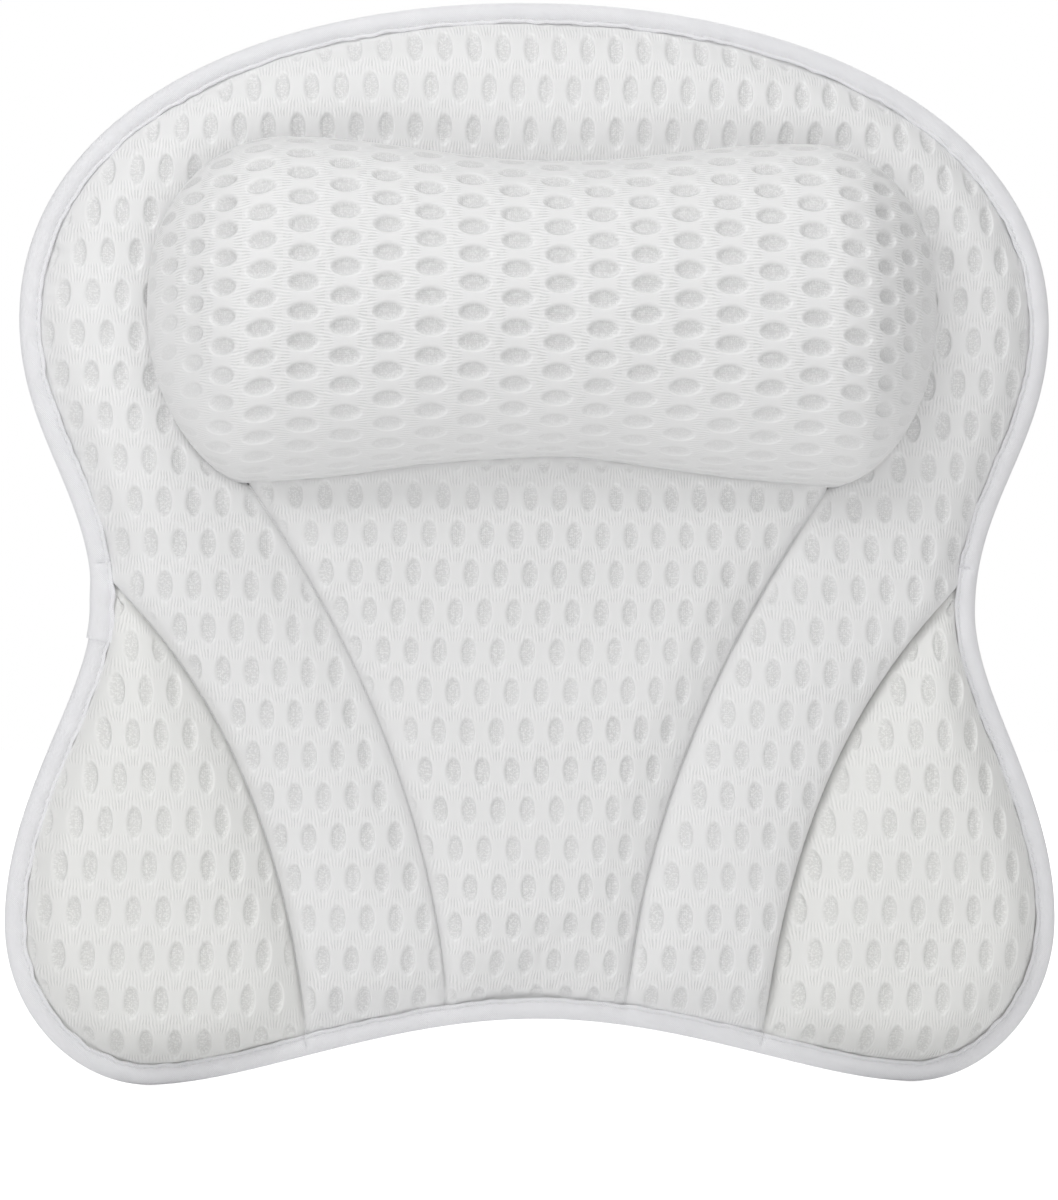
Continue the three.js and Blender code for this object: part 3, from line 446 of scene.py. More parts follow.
def spread(coarse, rows, columns):
    def weights(t):
        return [
            (-t + 2 * t**2 - t**3) / 2,
            (2 - 5 * t**2 + 3 * t**3) / 2,
            (t + 4 * t**2 - 3 * t**3) / 2,
            (t**3 - t**2) / 2,
        ]

    last_row, last_column = np.array(coarse.shape[:2]) - 1
    at_row, at_column = rows * last_row, columns * last_column
    row = np.minimum(at_row.astype(int), last_row - 1)
    column = np.minimum(at_column.astype(int), last_column - 1)
    total = 0
    for i, row_weight in enumerate(weights(at_row - row)):
        for j, column_weight in enumerate(weights(at_column - column)):
            near_row = np.clip(row + i - 1, 0, last_row)
            near_column = np.clip(column + j - 1, 0, last_column)
            total = total + (row_weight * column_weight)[..., None] * coarse[near_row, near_column]
    return total


def knit_group():
    group = bpy.data.node_groups.new("dimpled knit", "ShaderNodeTree")
    group.interface.new_socket("Fabric", in_out="INPUT", socket_type="NodeSocketVector")
    for name in ("Oval half width", "Oval half height"):
        group.interface.new_socket(name, in_out="INPUT", socket_type="NodeSocketFloat")
    for name in ("Floor", "Rib", "Net", "Wall", "Painted rim highlight"):
        group.interface.new_socket(name, in_out="OUTPUT", socket_type="NodeSocketFloat")
    entry = node(group, "NodeGroupInput").outputs

    def times(first, second):
        return maths(group, "MULTIPLY", first, second)

    def added(first, second, third):
        return maths(group, "MULTIPLY_ADD", first, second, third)

    across, along, shown = split(group, entry["Fabric"])
    rows = maths(group, "DIVIDE", along, float(ROW))
    row = maths(group, "ROUND", rows)
    odd = maths(group, "FLOORED_MODULO", row, 2.0)
    shifted = added(odd, 0.5, maths(group, "DIVIDE", across, PITCH))
    beside = maths(group, "WRAP", shifted, 0.5, -0.5)
    ahead = maths(group, "SUBTRACT", rows, row)
    wide = maths(group, "DIVIDE", times(beside, PITCH), entry["Oval half width"])
    tall = maths(group, "DIVIDE", times(ahead, ROW), entry["Oval half height"])
    radius = maths(group, "SQRT", added(wide, wide, times(tall, tall)))
    floor = times(ramp(group, radius, 1.0, 0.74), shown)
    far = maths(group, "ABSOLUTE", ahead)
    fan = added(waves(group, beside, 1.0), added(far, 2 * RIB_FAN, -RIB_FAN), across)
    uneven = noise(group, entry["Fabric"], scale=0.3, detail=1.0)
    ribs = waves(group, added(uneven, RIB_UNEVEN, fan), RIB_PITCH)
    bundle = maths(group, "COSINE", times(beside, 2 * math.pi))
    ribs = times(ribs, added(bundle, -RIB_BUNDLE, 1 - RIB_BUNDLE))
    ribs = times(ribs, ramp(group, uneven, 0.3, 0.6, 0.45, 1.0))
    band = times(ramp(group, far, 0.22, 0.34), maths(group, "SUBTRACT", shown, floor))
    leaning = waves(group, maths(group, "ADD", across, along), FLOOR_NET_PITCH)
    falling = waves(group, maths(group, "SUBTRACT", across, along), FLOOR_NET_PITCH)
    lit_side = times(ramp(group, wide, -0.35, 0.45), shown)
    # A thin ring round each dimple, kept to its lit side, is output as a painted highlight on the
    # dimple rim.
    ring = times(ramp(group, radius, 0.9, 1.0), ramp(group, radius, 1.14, 1.03))
    node(group, "NodeGroupOutput", {
        "Floor": floor,
        "Rib": times(ribs, band),
        "Net": times(times(leaning, falling), floor),
        "Wall": times(ramp(group, radius, 1.06, 0.86), lit_side),
        "Painted rim highlight": times(ring, lit_side),
    })
    return group


def spacer_mesh_finish(name, web, floor, oval, sparkle):
    material, tree, shader = finish_of(
        name, Roughness=0.78, Sheen_Weight=0.12, Sheen_Roughness=0.5
    )
    fabric = node(tree, "ShaderNodeAttribute", attribute_name="fabric").outputs["Vector"]
    sizes = {"Fabric": fabric, "Oval half width": oval[0], "Oval half height": oval[1]}
    knit = node(tree, "ShaderNodeGroup", sizes, node_tree=knitted).outputs
    place = on_object(tree)
    cloud = noise(tree, place, scale=18.0, detail=4.0)
    fuzz = noise(tree, place, scale=900.0, detail=2.0)
    speck = ramp(tree, noise(tree, fabric, scale=1.3, detail=1.0), 0.46, 0.64)
    speck = maths(tree, "MULTIPLY", speck, knit["Floor"])
    shade = maths(tree, "MULTIPLY_ADD", knit["Floor"], FLOOR_SHADE, WEB_SHADE)
    shade = maths(tree, "MULTIPLY_ADD", cloud, CLOUD_SHADE, shade)
    # The rim entry paints a highlight into the colour on the lit side of each dimple rim.
    for part, strength in KNIT_SHADES.items():
        shade = maths(tree, "MULTIPLY_ADD", knit[part], strength, shade)
    shade = maths(tree, "MULTIPLY_ADD", speck, -sparkle, shade)
    tinted(tree, shader, shade, web, floor)
    height = maths(tree, "MULTIPLY", knit["Net"], NET_RELIEF)
    height = maths(tree, "MULTIPLY_ADD", knit["Rib"], RIB_RELIEF, height)
    height = maths(tree, "MULTIPLY_ADD", knit["Wall"], -1.0, height)
    height = maths(tree, "MULTIPLY_ADD", fuzz, FUZZ_RELIEF, height)
    dented(tree, shader, height, KNIT_RELIEF)
    return material


def closed_panel(name, grid, fabric, material, bowed=1):
    rows, columns = grid.shape[:2]
    index = np.arange(rows * columns).reshape(rows, columns)
    left, right = index[:, 0], index[:, -1]
    faces = grid_faces(rows, columns)
    faces.append(index[0].tolist() + right[1:bowed + 1].tolist() + left[bowed:0:-1].tolist())
    faces += [[left[i], right[i], right[i + 1], left[i + 1]] for i in range(bowed, rows - 2)]
    faces.append([left[-2], right[-2]] + index[-1, ::-1].tolist())
    return piece(name, grid, faces, material, fabric, merge=1e-7)


def cushion(plan, crown, valley, topped, seams, tapes):
    lip, height = 1, 1
    near = hem = np.full(plan.shape[:-1], FAR_OFF)
    dip, dip_reach = valley
    for line in topped:
        way = reach(plan, line)
        near = np.minimum(near, way)
        lip = lip * (1 - dip + dip * np.sin(np.clip(way / LIP, 0, 1) * math.pi / 2))
        height = height * (1 - dip + dip * np.tanh(way / dip_reach))
    for line, (rise, depth) in seams:
        way = reach(plan, line)
        near = np.minimum(near, way)
        lip = lip * np.sin(np.clip(way / LIP, 0, 1) * math.pi / 2)
        height = height * (1 - depth + depth * np.tanh(way / rise))
    for line in tapes:
        way = np.maximum(reach(plan, line) - TAPE_COVERS, 0)
        height = height * np.tanh(way / TAPE_RISE)
        hem = np.minimum(hem, way)
    lip = lip * (HEM_LIP + (1 - HEM_LIP) * eased(0, HEM_REACH, hem))
    return LAYER * lip + crown * height, near, hem


def padded_panel(name, sides, rows, columns, filling, material, seed, bows=(0, 0), tall=1):
    side_a, side_b = sides

    def surface(row, column):
        foot_bow = bows[0] * 4 * column * (1 - column)
        top_bow = bows[1] * eased(0, 1, 1 - abs(2 * column - 1))
        from_a, from_b = picked(side_a, row), picked(side_b, row)
        plan = from_a * (1 - column)[..., None] + from_b * column[..., None]
        plan[..., 1] += foot_bow + (top_bow - foot_bow) * row
        padding, near, hem = cushion(plan, *filling)
        inside = (column > 0) & (column < 1) & (row > 0) & (row < 1)
        return plan, COVER_BASE + padding * inside, near, hem

    long = travel((side_a + side_b) / 2)[-1]
    row = graded([long], rows).T
    wide = np.linalg.norm(picked(side_a, row[:, 0]) - picked(side_b, row[:, 0]), axis=1)
    column = graded(wide, columns)
    row = np.broadcast_to(row, column.shape)
    plan, level, near, hem = surface(row, column)
    grid = placed(plan, level)
    cells = [max(int(size / CLOTH_CELL), CLOTH_CELLS_LEAST) for size in (long, wide.max())]
    coarse = np.meshgrid(*(np.linspace(0, 1, count) for count in cells), indexing="ij")
    moved = settled(placed(*surface(*coarse)[:2]), PANEL_SETTLING)
    free = eased(0, 6, near) * eased(4, 20, wide)[:, None]
    grid = grid + spread(moved, row, column) * free[..., None]
    x, height = plan[..., 0], plan[..., 1]
    across = x + DRIFT * wander(x, height, DRIFT_ACROSS, seed)
    along = (height + DRIFT * wander(x, height, DRIFT_ALONG, seed + 1)) / tall
    uneven = UNEVEN_DIMPLES * wander(x, height, UNEVEN_LENGTH, seed + 3)
    calm = eased(0.5, 3.5, near) * eased(0, 3, hem) * (1 - UNEVEN_DIMPLES + uneven)
    dent = DIMPLE_DEPTH * oval_depth(across, along, PANEL_OVAL) * calm
    pucker = PUCKER * wander(x, height, PUCKER_LENGTH, seed + 2)
    pucker = pucker * np.exp(-near / 5) * eased(0, 2, near)
    gather = GATHER * wander(x, height, GATHER_LENGTH, seed + 5)
    gather = gather * np.exp(-hem / 4) * eased(0, 1.5, hem) * eased(8, 20, near)
    ripple = RIPPLE * wander(x, height, RIPPLE_LENGTH, seed + 4) * eased(3, 12, near)
    tip = eased(2, 14, wide)[:, None]
    relief = (pucker + gather + ripple - dent) * tip * (level > COVER_BASE)
    grid = grid + normals_of(grid) * relief[..., None] * MM
    bowed = 1 + int(np.argmax(travel(plan[:, 0]) > 2 * bows[0]))
    made = closed_panel(name, grid, np.stack([across, along, calm], axis=-1), material, bowed)
    return made


def between(run, line):
    way, half = reach(run, line), len(run) // 2
    return run[np.argmin(way[:half]):half + np.argmin(way[half:]) + 1]


knitted = knit_group()
panel_mesh = spacer_mesh_finish("spacer_mesh", WEB_WHITE, FLOOR_GREY, PANEL_OVAL, PANEL_SPARKLE)
wing_mesh = spacer_mesh_finish(
    "wing_spacer_mesh", WING_WEB_WHITE, WING_FLOOR_GREY, PANEL_OVAL, PANEL_SPARKLE
)
inner_foot = arch[np.argmin(abs(arch[:, 0] - INNER_FOOT_X))]
inner_seam = bezier(PILLOW_CORNER, INNER_SEAM_BEND, inner_foot)
pillow_top = bezier(PILLOW_DIP, (40, 352), (60, 360), PILLOW_LOBE)
pillow_shoulder = bezier(PILLOW_LOBE, (130, 360), (149, 335), PILLOW_SIDE)
pillow_end = bezier(PILLOW_SIDE, (149, 266), (131, 233), PILLOW_CORNER)
pillow_bottom = bezier(PILLOW_CORNER, (76, 233), (38, 243), PILLOW_LOW)
pillow_half = joined(pillow_top, pillow_shoulder, pillow_end)
pillow_round = joined(mirrored(pillow_half), pillow_half)
pillow_line = evened(pillow_round, PILLOW_LINE_POINTS)
pillow_low_edge = joined(pillow_bottom, mirrored(pillow_bottom))
right_seams = {
    "outer": evened(outer_seam, SEAM_LINE_POINTS), "inner": evened(inner_seam, SEAM_LINE_POINTS)
}
seam_lines = {
    "left": {name: mirrored(line) for name, line in right_seams.items()},
    "right": right_seams,
}
arch_hem = evened(arch_edge, ARCH_HEM_POINTS)
seam_start = np.argmax(reach(outer_seam, joined(head_half, wing_edge)) > UNDER_TAPE)
outer_cut = evened(outer_seam[seam_start:], SEAM_ROWS)
inner_cut = evened(inner_seam, SEAM_ROWS)
head_hem = inward(evened(head_edge, HEAD_ROWS), UNDER_TAPE)
surround_out = joined(mirrored(outer_cut), head_hem, outer_cut)
surround_in = joined(mirrored(inner_cut), evened(pillow_round, HEAD_ROWS), inner_cut)
surround_seams = {"outer": STEEP_SEAM, "inner": GENTLE_SEAM}
surround_filling = (
    SURROUND_CROWN, VALLEY, [pillow_line],
    [(lines[name], shape) for lines in seam_lines.values() for name, shape in surround_seams.items()],
    [evened(head_edge, HEAD_HEM_POINTS), arch_hem],
)
surround = padded_panel(
    "surround_panel", (surround_in, surround_out), rows=1500, columns=70,
    filling=surround_filling, material=panel_mesh, seed=11,
)
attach(surround, "pad")
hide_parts("surround_cover", "surround_foam")
centre_cut = inner_cut[::-1]
centre_filling = (
    CENTRE_CROWN, CENTRE_VALLEY, [evened(pillow_low_edge, LOW_EDGE_POINTS)],
    [(lines["inner"], STEEP_SEAM) for lines in seam_lines.values()], [arch_hem],
)
centre = padded_panel(
    "centre_panel", (centre_cut * (-1, 1), centre_cut), rows=300, columns=225,
    filling=centre_filling, material=panel_mesh, seed=23, bows=CENTRE_BOWS, tall=CENTRE_STRETCH,
)
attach(centre, "pad")
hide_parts("centre_cover", "centre_foam")
wing_hem = inward(evened(wing_edge, WING_CUT_POINTS), UNDER_TAPE)
wing_in = evened(between(outer_seam, wing_hem), WING_ROWS)
wing_out = evened(between(wing_hem, outer_seam), WING_ROWS)
wing_seeds = {"left": 41, "right": 57}
wing_filling = {}
for side, sign in SIDES.items():
    wing_filling[side] = (
        WING_CROWN, VALLEY, [], [(seam_lines[side]["outer"], WING_SEAM)],
        [evened(wing_edge, WING_HEM_POINTS) * (sign, 1)],
    )
    wing = padded_panel(
        f"{side}_wing_panel", (wing_in * (sign, 1), wing_out * (sign, 1)), rows=420, columns=145,
        filling=wing_filling[side], material=wing_mesh, seed=wing_seeds[side], tall=WING_STRETCH,
    )
    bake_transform(wing)
    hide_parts(f"{side}_wing_cover", f"{side}_wing_foam")

# Head pillow. A bone-shaped bolster of the same spacer mesh, turned so that its ovals lie flat, over
# polyester fibre. It is sewn down round its whole edge, leans up towards the head, and the fabric is
# gathered a little along its lower seam.
PILLOW_DEPTH = 78
PILLOW_ROUNDING = 44
PILLOW_FULLNESS = 0.56
PILLOW_SWELL = 3.5
PILLOW_SAG = 1.5
PILLOW_BULGE = 6
PILLOW_LEAN = 5
PILLOW_OVAL = (3.6, 6.1)
PILLOW_DIMPLES = 1.25
LOW_DIMPLES, LOW_STRIP = 0.36, (45, 100)
PILLOW_DRIFT_ACROSS, PILLOW_DRIFT_ALONG = 1.2, 1.5
LOW_GATHERS, LOW_FOLDS, GATHER_FADE = 1.1, 0.5, 11
TOP_CREASES, CREASE_FADE = 0.7, 14
PILLOW_RIPPLE = 0.8
PILLOW_SEED = 71
PILLOW_SPARKLE = 0.4
PILLOW_SETTLING = 0.004
PILLOW_CUT_POINTS = 1200
PILLOW_ROWS, PILLOW_COLUMNS, MIDDLE_COLUMN = 480, 310, 160
PILLOW_CLOTH_CELLS = (52, 34)
SECTION_HALF, SECTION_POINTS = 60, 4000
pillow_mesh = spacer_mesh_finish(
    "pillow_spacer_mesh", WEB_WHITE, FLOOR_GREY, PILLOW_OVAL, PILLOW_SPARKLE
)
pillow_upper = joined(pillow_top, pillow_shoulder)
pillow_lower = joined(pillow_end, pillow_bottom)
upper_cut = evened(joined(mirrored(pillow_upper), pillow_upper), PILLOW_CUT_POINTS)
lower_cut = evened(joined(pillow_lower, mirrored(pillow_lower))[::-1], PILLOW_CUT_POINTS)


def bolster(row, turn):
    upper, lower = picked(upper_cut, row), picked(lower_cut, row)
    arc = np.maximum(np.sin(math.pi * turn), 0) ** PILLOW_FULLNESS
    plan = (upper + lower) / 2 - (upper - lower) / 2 * np.cos(math.pi * turn)[..., None]
    middle_x = abs((upper + lower)[..., 0]) / 2
    from_end = np.clip((PILLOW_SIDE[0] - middle_x) / PILLOW_ROUNDING, 0, 1)
    full = np.sqrt(1 - (1 - from_end) ** 2)
    bulge = (1 - from_end) ** 2 * np.sin(np.clip(arc * full / 0.75, 0, 1) * math.pi)
    plan[..., 0] += np.sign(plan[..., 0]) * PILLOW_BULGE * bulge
    plan[..., 1] += PILLOW_LEAN * arc**1.5 * full
    plan[..., 1] += 4 * arc * (1 - arc) * full * np.where(turn > 0.5, PILLOW_SWELL, -PILLOW_SAG)
    return plan, COVER_BASE + PILLOW_DEPTH * arc * full


def measured(grid, axis):
    steps = np.linalg.norm(np.diff(grid, axis=axis), axis=2)
    return np.insert(np.cumsum(steps, axis=axis), 0, 0, axis=axis) / MM


section_turns = np.linspace(0, 1, SECTION_POINTS)
section_arc = PILLOW_DEPTH * np.sin(math.pi * section_turns) ** PILLOW_FULLNESS
section = np.stack([-SECTION_HALF * np.cos(math.pi * section_turns), section_arc], axis=1)
section_way = travel(section)
column_ways = np.linspace(0, section_way[-1], PILLOW_COLUMNS)
column_turns = np.interp(column_ways, section_way, section_turns)
row, turn = np.meshgrid(np.linspace(0, 1, PILLOW_ROWS), column_turns, indexing="ij")
pillow_plan, pillow_level = bolster(row, turn)
cover = placed(pillow_plan, pillow_level)
coarse = np.meshgrid(*(np.linspace(0, 1, count) for count in PILLOW_CLOTH_CELLS), indexing="ij")
moved = settled(placed(*bolster(*coarse)), PILLOW_SETTLING)
cover = cover + spread(moved, row, turn) * eased(12, 40, pillow_level - COVER_BASE)[..., None]
x, height = pillow_plan[..., 0], pillow_plan[..., 1]
from_low, from_left = measured(cover, 1), measured(cover, 0)
from_high = from_low[:, -1:] - from_low
ends = eased(0, 9, reach(pillow_plan, pillow_line))
across = from_low[:, MIDDLE_COLUMN, None] - from_low
across = across + PILLOW_DRIFT_ACROSS * wander(x, height, 120, PILLOW_SEED)
along = from_left - from_left[len(cover) // 2]
along = along + PILLOW_DRIFT_ALONG * wander(x, from_low, 130, PILLOW_SEED + 1)
calm = LOW_DIMPLES + (1 - LOW_DIMPLES) * eased(*LOW_STRIP, from_low)
calm = calm * eased(5, 16, from_low) * eased(4, 18, from_high)
calm = calm * eased(4, 16, pillow_level - COVER_BASE)
dent = PILLOW_DIMPLES * DIMPLE_DEPTH * oval_depth(across, along, PILLOW_OVAL) * calm
gathers = LOW_GATHERS * wander(x * 0.12, from_low, 5, PILLOW_SEED + 2)
gathers = gathers + LOW_FOLDS * wander(x, from_low * 0.3, 16, PILLOW_SEED + 5)
gathers = gathers * np.exp(-from_low / GATHER_FADE) * eased(0, 1.5, from_low)
creases = TOP_CREASES * wander(x * 0.35, from_low, 14, PILLOW_SEED + 3)
creases = creases * np.exp(-from_high / CREASE_FADE) * eased(0, 2, from_high)
ripple = PILLOW_RIPPLE * wander(x, from_low, 60, PILLOW_SEED + 4) * ends
relief = (gathers + creases + ripple - dent) * (turn > 0) * (turn < 1) * eased(0, 6, from_low) * ends
cover = cover + normals_of(cover) * relief[..., None] * MM
pillow = closed_panel("head_pillow", cover, np.stack([across, along, calm], axis=-1), pillow_mesh)
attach(pillow, "pad")
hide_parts("head_pillow_cover", "head_pillow_filling")

# Seams. A lockstitched white thread lies at the bottom of every crease, where the panels are sewn to
# each other and the bolster to the pad. Each run is one narrow flattened strand, and the one round
# the bolster is a thicker piping that rises over the centre panel.
STRAND_WIDTH = 0.7
STRAND_HEIGHT = 0.6
STRAND_SIDES, STRAND_POINTS, PIPING_POINTS = 8, 220, 760
PIPING_WIDER, PIPING_HIGHER = 2.6, 3
PIPING_LIFT = 5.2
PIPING_RAISED = 4.6
PIPING_OUTSET = 0.3
TWIST_DEPTH = 0.0001
THREAD_WHITE, THREAD_SHADE = (0.93, 0.93, 0.93), (0.86, 0.86, 0.87)


def swept(name, line, profile, material, closed=False, lift=None):
    normal = inward(line, 1.0) - line
    count = len(line)
    inset, level = (np.tile(side[:, None], (1, count)) for side in np.array(profile, float).T)
    if lift is not None:
        inset, level = lift(inset, level)
    plan = line[None] + normal[None] * inset[..., None]
    faces = grid_faces(len(profile), count, closed_rows=True, closed_columns=closed)
    if not closed:
        faces += [[i * count + end for i in range(len(profile))] for end in (0, count - 1)]
    return piece(name, placed(plan, level), faces, material)


def thread_finish():
    material, tree, shader = finish_of("thread", Roughness=0.6, Sheen_Weight=0.2)
    strands = {"Vector": on_object(tree), "Scale": 600.0, "Distortion": 1.0}
    twist = node(tree, "ShaderNodeTexWave", strands).outputs["Fac"]
    tinted(tree, shader, twist, THREAD_SHADE, THREAD_WHITE)
    dented(tree, shader, twist, TWIST_DEPTH)
    return material


thread = thread_finish()
strand_round = [
    (STRAND_WIDTH / 2 * math.cos(a), STRAND_HEIGHT / 2 * (1 + math.sin(a)))
    for a in np.linspace(0, 2 * math.pi, STRAND_SIDES + 1)[:-1]
]
piping = [
    (PIPING_WIDER * inset - PIPING_OUTSET, COVER_BASE + PIPING_LIFT + PIPING_HIGHER * level)
    for inset, level in strand_round
]
strand = [(inset, COVER_BASE + level) for inset, level in strand_round]
around = evened(joined(pillow_round, pillow_low_edge), PIPING_POINTS)[:-1]
on_low_edge = reach(around, pillow_low_edge) < 0.5
raised = PIPING_RAISED * on_low_edge * eased(0, 14, PILLOW_CORNER[0] - abs(around[:, 0]))
sewn = {"head_pillow_seam": swept(
    "head_pillow_thread", around, piping, thread, closed=True,
    lift=lambda inset, level: (inset, level + raised),
)}
for side, sign in SIDES.items():
    for seam, run in (("inner", inner_seam), ("outer", outer_seam)):
        trimmed = evened(run, STRAND_POINTS)[2:-3] * (sign, 1)
        beside = centre_filling if seam == "inner" else wing_filling[side]
        rest = np.minimum(*(cushion(trimmed, *filling)[0] for filling in (surround_filling, beside)))
        sewn[f"{side}_{seam}_seam"] = swept(
            f"{side}_{seam}_thread", trimmed, strand, thread,
            lift=lambda inset, level: (inset, level + rest),
        )
for replaced, made in sewn.items():
    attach(made, "pad")
    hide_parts(replaced)

# Edge binding. A cool white woven tape folded over the raw edge, front to back, and sewn through in
# one line. It is cut into a head run, a run round each wing and a run across the arch. It ripples a
# little where it is pulled round the curves, and its last end is lapped over itself at the left waist.
TAPE_FOLD = [
    (6.7, 16.9), (7.0, 17.9), (6.9, 18.5), (6.4, 18.75), (5.9, 18.6), (5.4, 18.0), (4.8, 18.55),
    (4.0, 18.95), (3.0, 19.15), (1.5, 18.95), (0.2, 18.2), (-0.9, 17.0), (-1.3, 15.4), (-0.9, 13.8),
    (0.2, 12.5), (1.5, 11.8), (3.2, 11.55), (5.0, 11.6), (6.2, 11.75), (7.0, 11.85), (7.3, 12.2),
    (7.1, 12.6), (5.0, 12.5), (2.4, 12.8), (1.2, 13.9), (0.9, 15.4), (1.2, 16.9), (2.4, 17.3),
    (5.0, 17.2),
]
FOLD_INSET, FOLD_LEVEL = 3.5, 15.4
TAPE_STEP = 1.1
TAPE_OVERLAP = 0.2
TAPE_WAVE, TAPE_WAVES = 0.5, ((1, 12), (0.8, 31))
TAPE_SWAY, TAPE_SWAYS = 0.7, ((1, 17), (0.7, 8))
CREASE, CREASE_REACH = 1.0, 1.2
STITCH_INSET, STITCH_LEVEL = 5.4, 18.15
STITCH_PITCH = 0.0031
STITCH_SIZE = (0.00125, 0.00032, 0.00024)
LAP = 29
LAP_GROWTH = 0.2
TWILL_PITCH, TWILL_SHADE, TWILL_RELIEF = 0.0008, 0.12, 0.15
TAPE_RELIEF = 0.0004
TAPE_WHITE, TAPE_SHADE = (0.95, 0.95, 0.97), (0.88, 0.88, 0.905)


def tape_finish():
    material, tree, shader = finish_of(
        "binding_tape", Roughness=0.62, Sheen_Weight=0.15, Sheen_Roughness=0.4
    )
    place = on_object(tree)
    axes = split(tree, place)
    twill = waves(tree, maths(tree, "ADD", axes["X"], axes["Z"]), TWILL_PITCH)
    cloud = noise(tree, place, scale=70.0, detail=4.0)
    shade = maths(tree, "MULTIPLY_ADD", twill, TWILL_SHADE, cloud)
    tinted(tree, shader, shade, TAPE_WHITE, TAPE_SHADE)
    dented(tree, shader, maths(tree, "MULTIPLY_ADD", twill, TWILL_RELIEF, cloud), TAPE_RELIEF)
    return material


def stitch_tree():
    tree = bpy.data.node_groups.new("stitches", "GeometryNodeTree")
    for name, kind in (("Geometry", "Geometry"), ("Pitch", "Float"), ("Thread", "Material")):
        tree.interface.new_socket(name, in_out="INPUT", socket_type=f"NodeSocket{kind}")
    tree.interface.new_socket("Geometry", in_out="OUTPUT", socket_type="NodeSocketGeometry")

    def step(kind, inputs=None, **settings):
        return node(tree, kind, inputs, **settings).outputs[0]

    entry = node(tree, "NodeGroupInput").outputs
    path = step("GeometryNodeMeshToCurve", {0: entry["Geometry"]})
    spacing = {"Curve": path, "Length": entry["Pitch"]}
    spaced = step("GeometryNodeResampleCurve", spacing, mode="LENGTH")
    bead = step("GeometryNodeMeshUVSphere", {"Segments": 6, "Rings": 4, "Radius": 1.0})
    bead = step("GeometryNodeTransform", {"Geometry": bead, "Scale": STITCH_SIZE})
    tangent = step("GeometryNodeInputTangent")
    turned = step("FunctionNodeAlignRotationToVector", {"Vector": tangent}, axis="X")
    beads = {"Points": spaced, "Instance": bead, "Rotation": turned}
    real = step("GeometryNodeRealizeInstances", {0: step("GeometryNodeInstanceOnPoints", beads)})
    coated = step("GeometryNodeSetMaterial", {"Geometry": real, "Material": entry["Thread"]})
    node(tree, "NodeGroupOutput", {0: coated})
    return tree


def made_real(worked):
    evaluated = worked.evaluated_get(bpy.context.evaluated_depsgraph_get())
    mesh = bpy.data.meshes.new_from_object(evaluated)
    bpy.data.objects.remove(worked)
    mesh.shade_smooth()
    return mesh


def stitched(name, paths):
    vertices, edges = [], []
    for path in paths:
        start = len(vertices)
        vertices += path.tolist()
        edges += [(start + k, start + k + 1) for k in range(len(path) - 1)]
    mesh = bpy.data.meshes.new(name)
    mesh.from_pydata(vertices, edges, [])
    guide = put(f"{name}_guide", mesh)
    modifier = guide.modifiers.new("stitches", "NODES")
    modifier.node_group = stitching
    values = {"Pitch": STITCH_PITCH, "Thread": thread}
    for item in stitching.interface.items_tree:
        if item.in_out == "INPUT" and item.name in values:
            modifier[item.identifier] = values[item.name]
    made = put(name, made_real(guide))
    return made


def rippled(far, ripples, seed):
    return sum(
        share * wander(far, 0, length, seed + k) for k, (share, length) in enumerate(ripples)
    )


def tape_run(name, run, seed, lap=0):
    long = travel(run)[-1]
    count = int(long / TAPE_STEP)
    line = evened(run, count + 1)
    line[0] -= (line[1] - line[0]) * TAPE_OVERLAP
    line[-1] -= (line[-2] - line[-1]) * TAPE_OVERLAP
    far = np.linspace(0, long, count + 1)
    to_end = np.minimum(far, long - far)
    still = eased(0, 7, to_end)
    wave = TAPE_WAVE * still * rippled(far, TAPE_WAVES, seed)
    sway = TAPE_SWAY * still * rippled(far, TAPE_SWAYS, seed + len(TAPE_WAVES))
    feet = np.array([inner_foot, inner_foot * (-1, 1)])
    to_foot = np.linalg.norm(line[:, None] - feet[None], axis=2).min(axis=1)
    crease = CREASE * np.exp(-np.minimum(to_end, to_foot) / CREASE_REACH)

    def lift(inset, level, part=slice(None), grow=1):
        out = np.sign(level - COVER_BASE) * np.clip(inset / 3, 0, 1)
        level = level + out * (wave[part] - crease[part])
        inset = inset + sway[part] * np.clip(inset / 8, 0, 1)
        return FOLD_INSET + (inset - FOLD_INSET) * grow, FOLD_LEVEL + (level - FOLD_LEVEL) * grow

    made = [swept(name, line, TAPE_FOLD, tape, lift=lift)]
    if lap:
        part = far > long - lap
        grow = 1 + LAP_GROWTH * eased(0, lap / 2, to_end[part])
        made.append(swept(
            f"{name}_end", line[part], TAPE_FOLD, tape,
            lift=lambda inset, level: lift(inset, level, part, grow),
        ))
    for each in made:
        each.data.set_sharp_from_angle(angle=math.radians(70))
    inset, level = lift(np.full(len(line), STITCH_INSET), np.full(len(line), STITCH_LEVEL))
    return made, placed(line + (inward(line, 1.0) - line) * inset[:, None], level)


tape = tape_finish()
stitching = stitch_tree()
[head_tape], head_path = tape_run("head_tape", head_edge, seed=81)
[arch_tape], arch_path = tape_run("arch_tape", arch_edge, seed=84)
pad_stitches = stitched("pad_tape_stitches", [head_path, arch_path])
for made in (head_tape, arch_tape, pad_stitches):
    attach(made, "pad")
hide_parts("head_binding")
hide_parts("arch_binding")
wing_runs = {"left": (mirrored(wing_edge), 87, LAP), "right": (wing_edge, 90, 0)}
for side, (run, seed, lap) in wing_runs.items():
    wing_tapes, wing_path = tape_run(f"{side}_wing_tape", run, seed, lap)
    wing_stitches = stitched(f"{side}_wing_tape_stitches", [wing_path])
    for made in (*wing_tapes, wing_stitches):
        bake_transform(made)
    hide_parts(f"{side}_wing_binding")

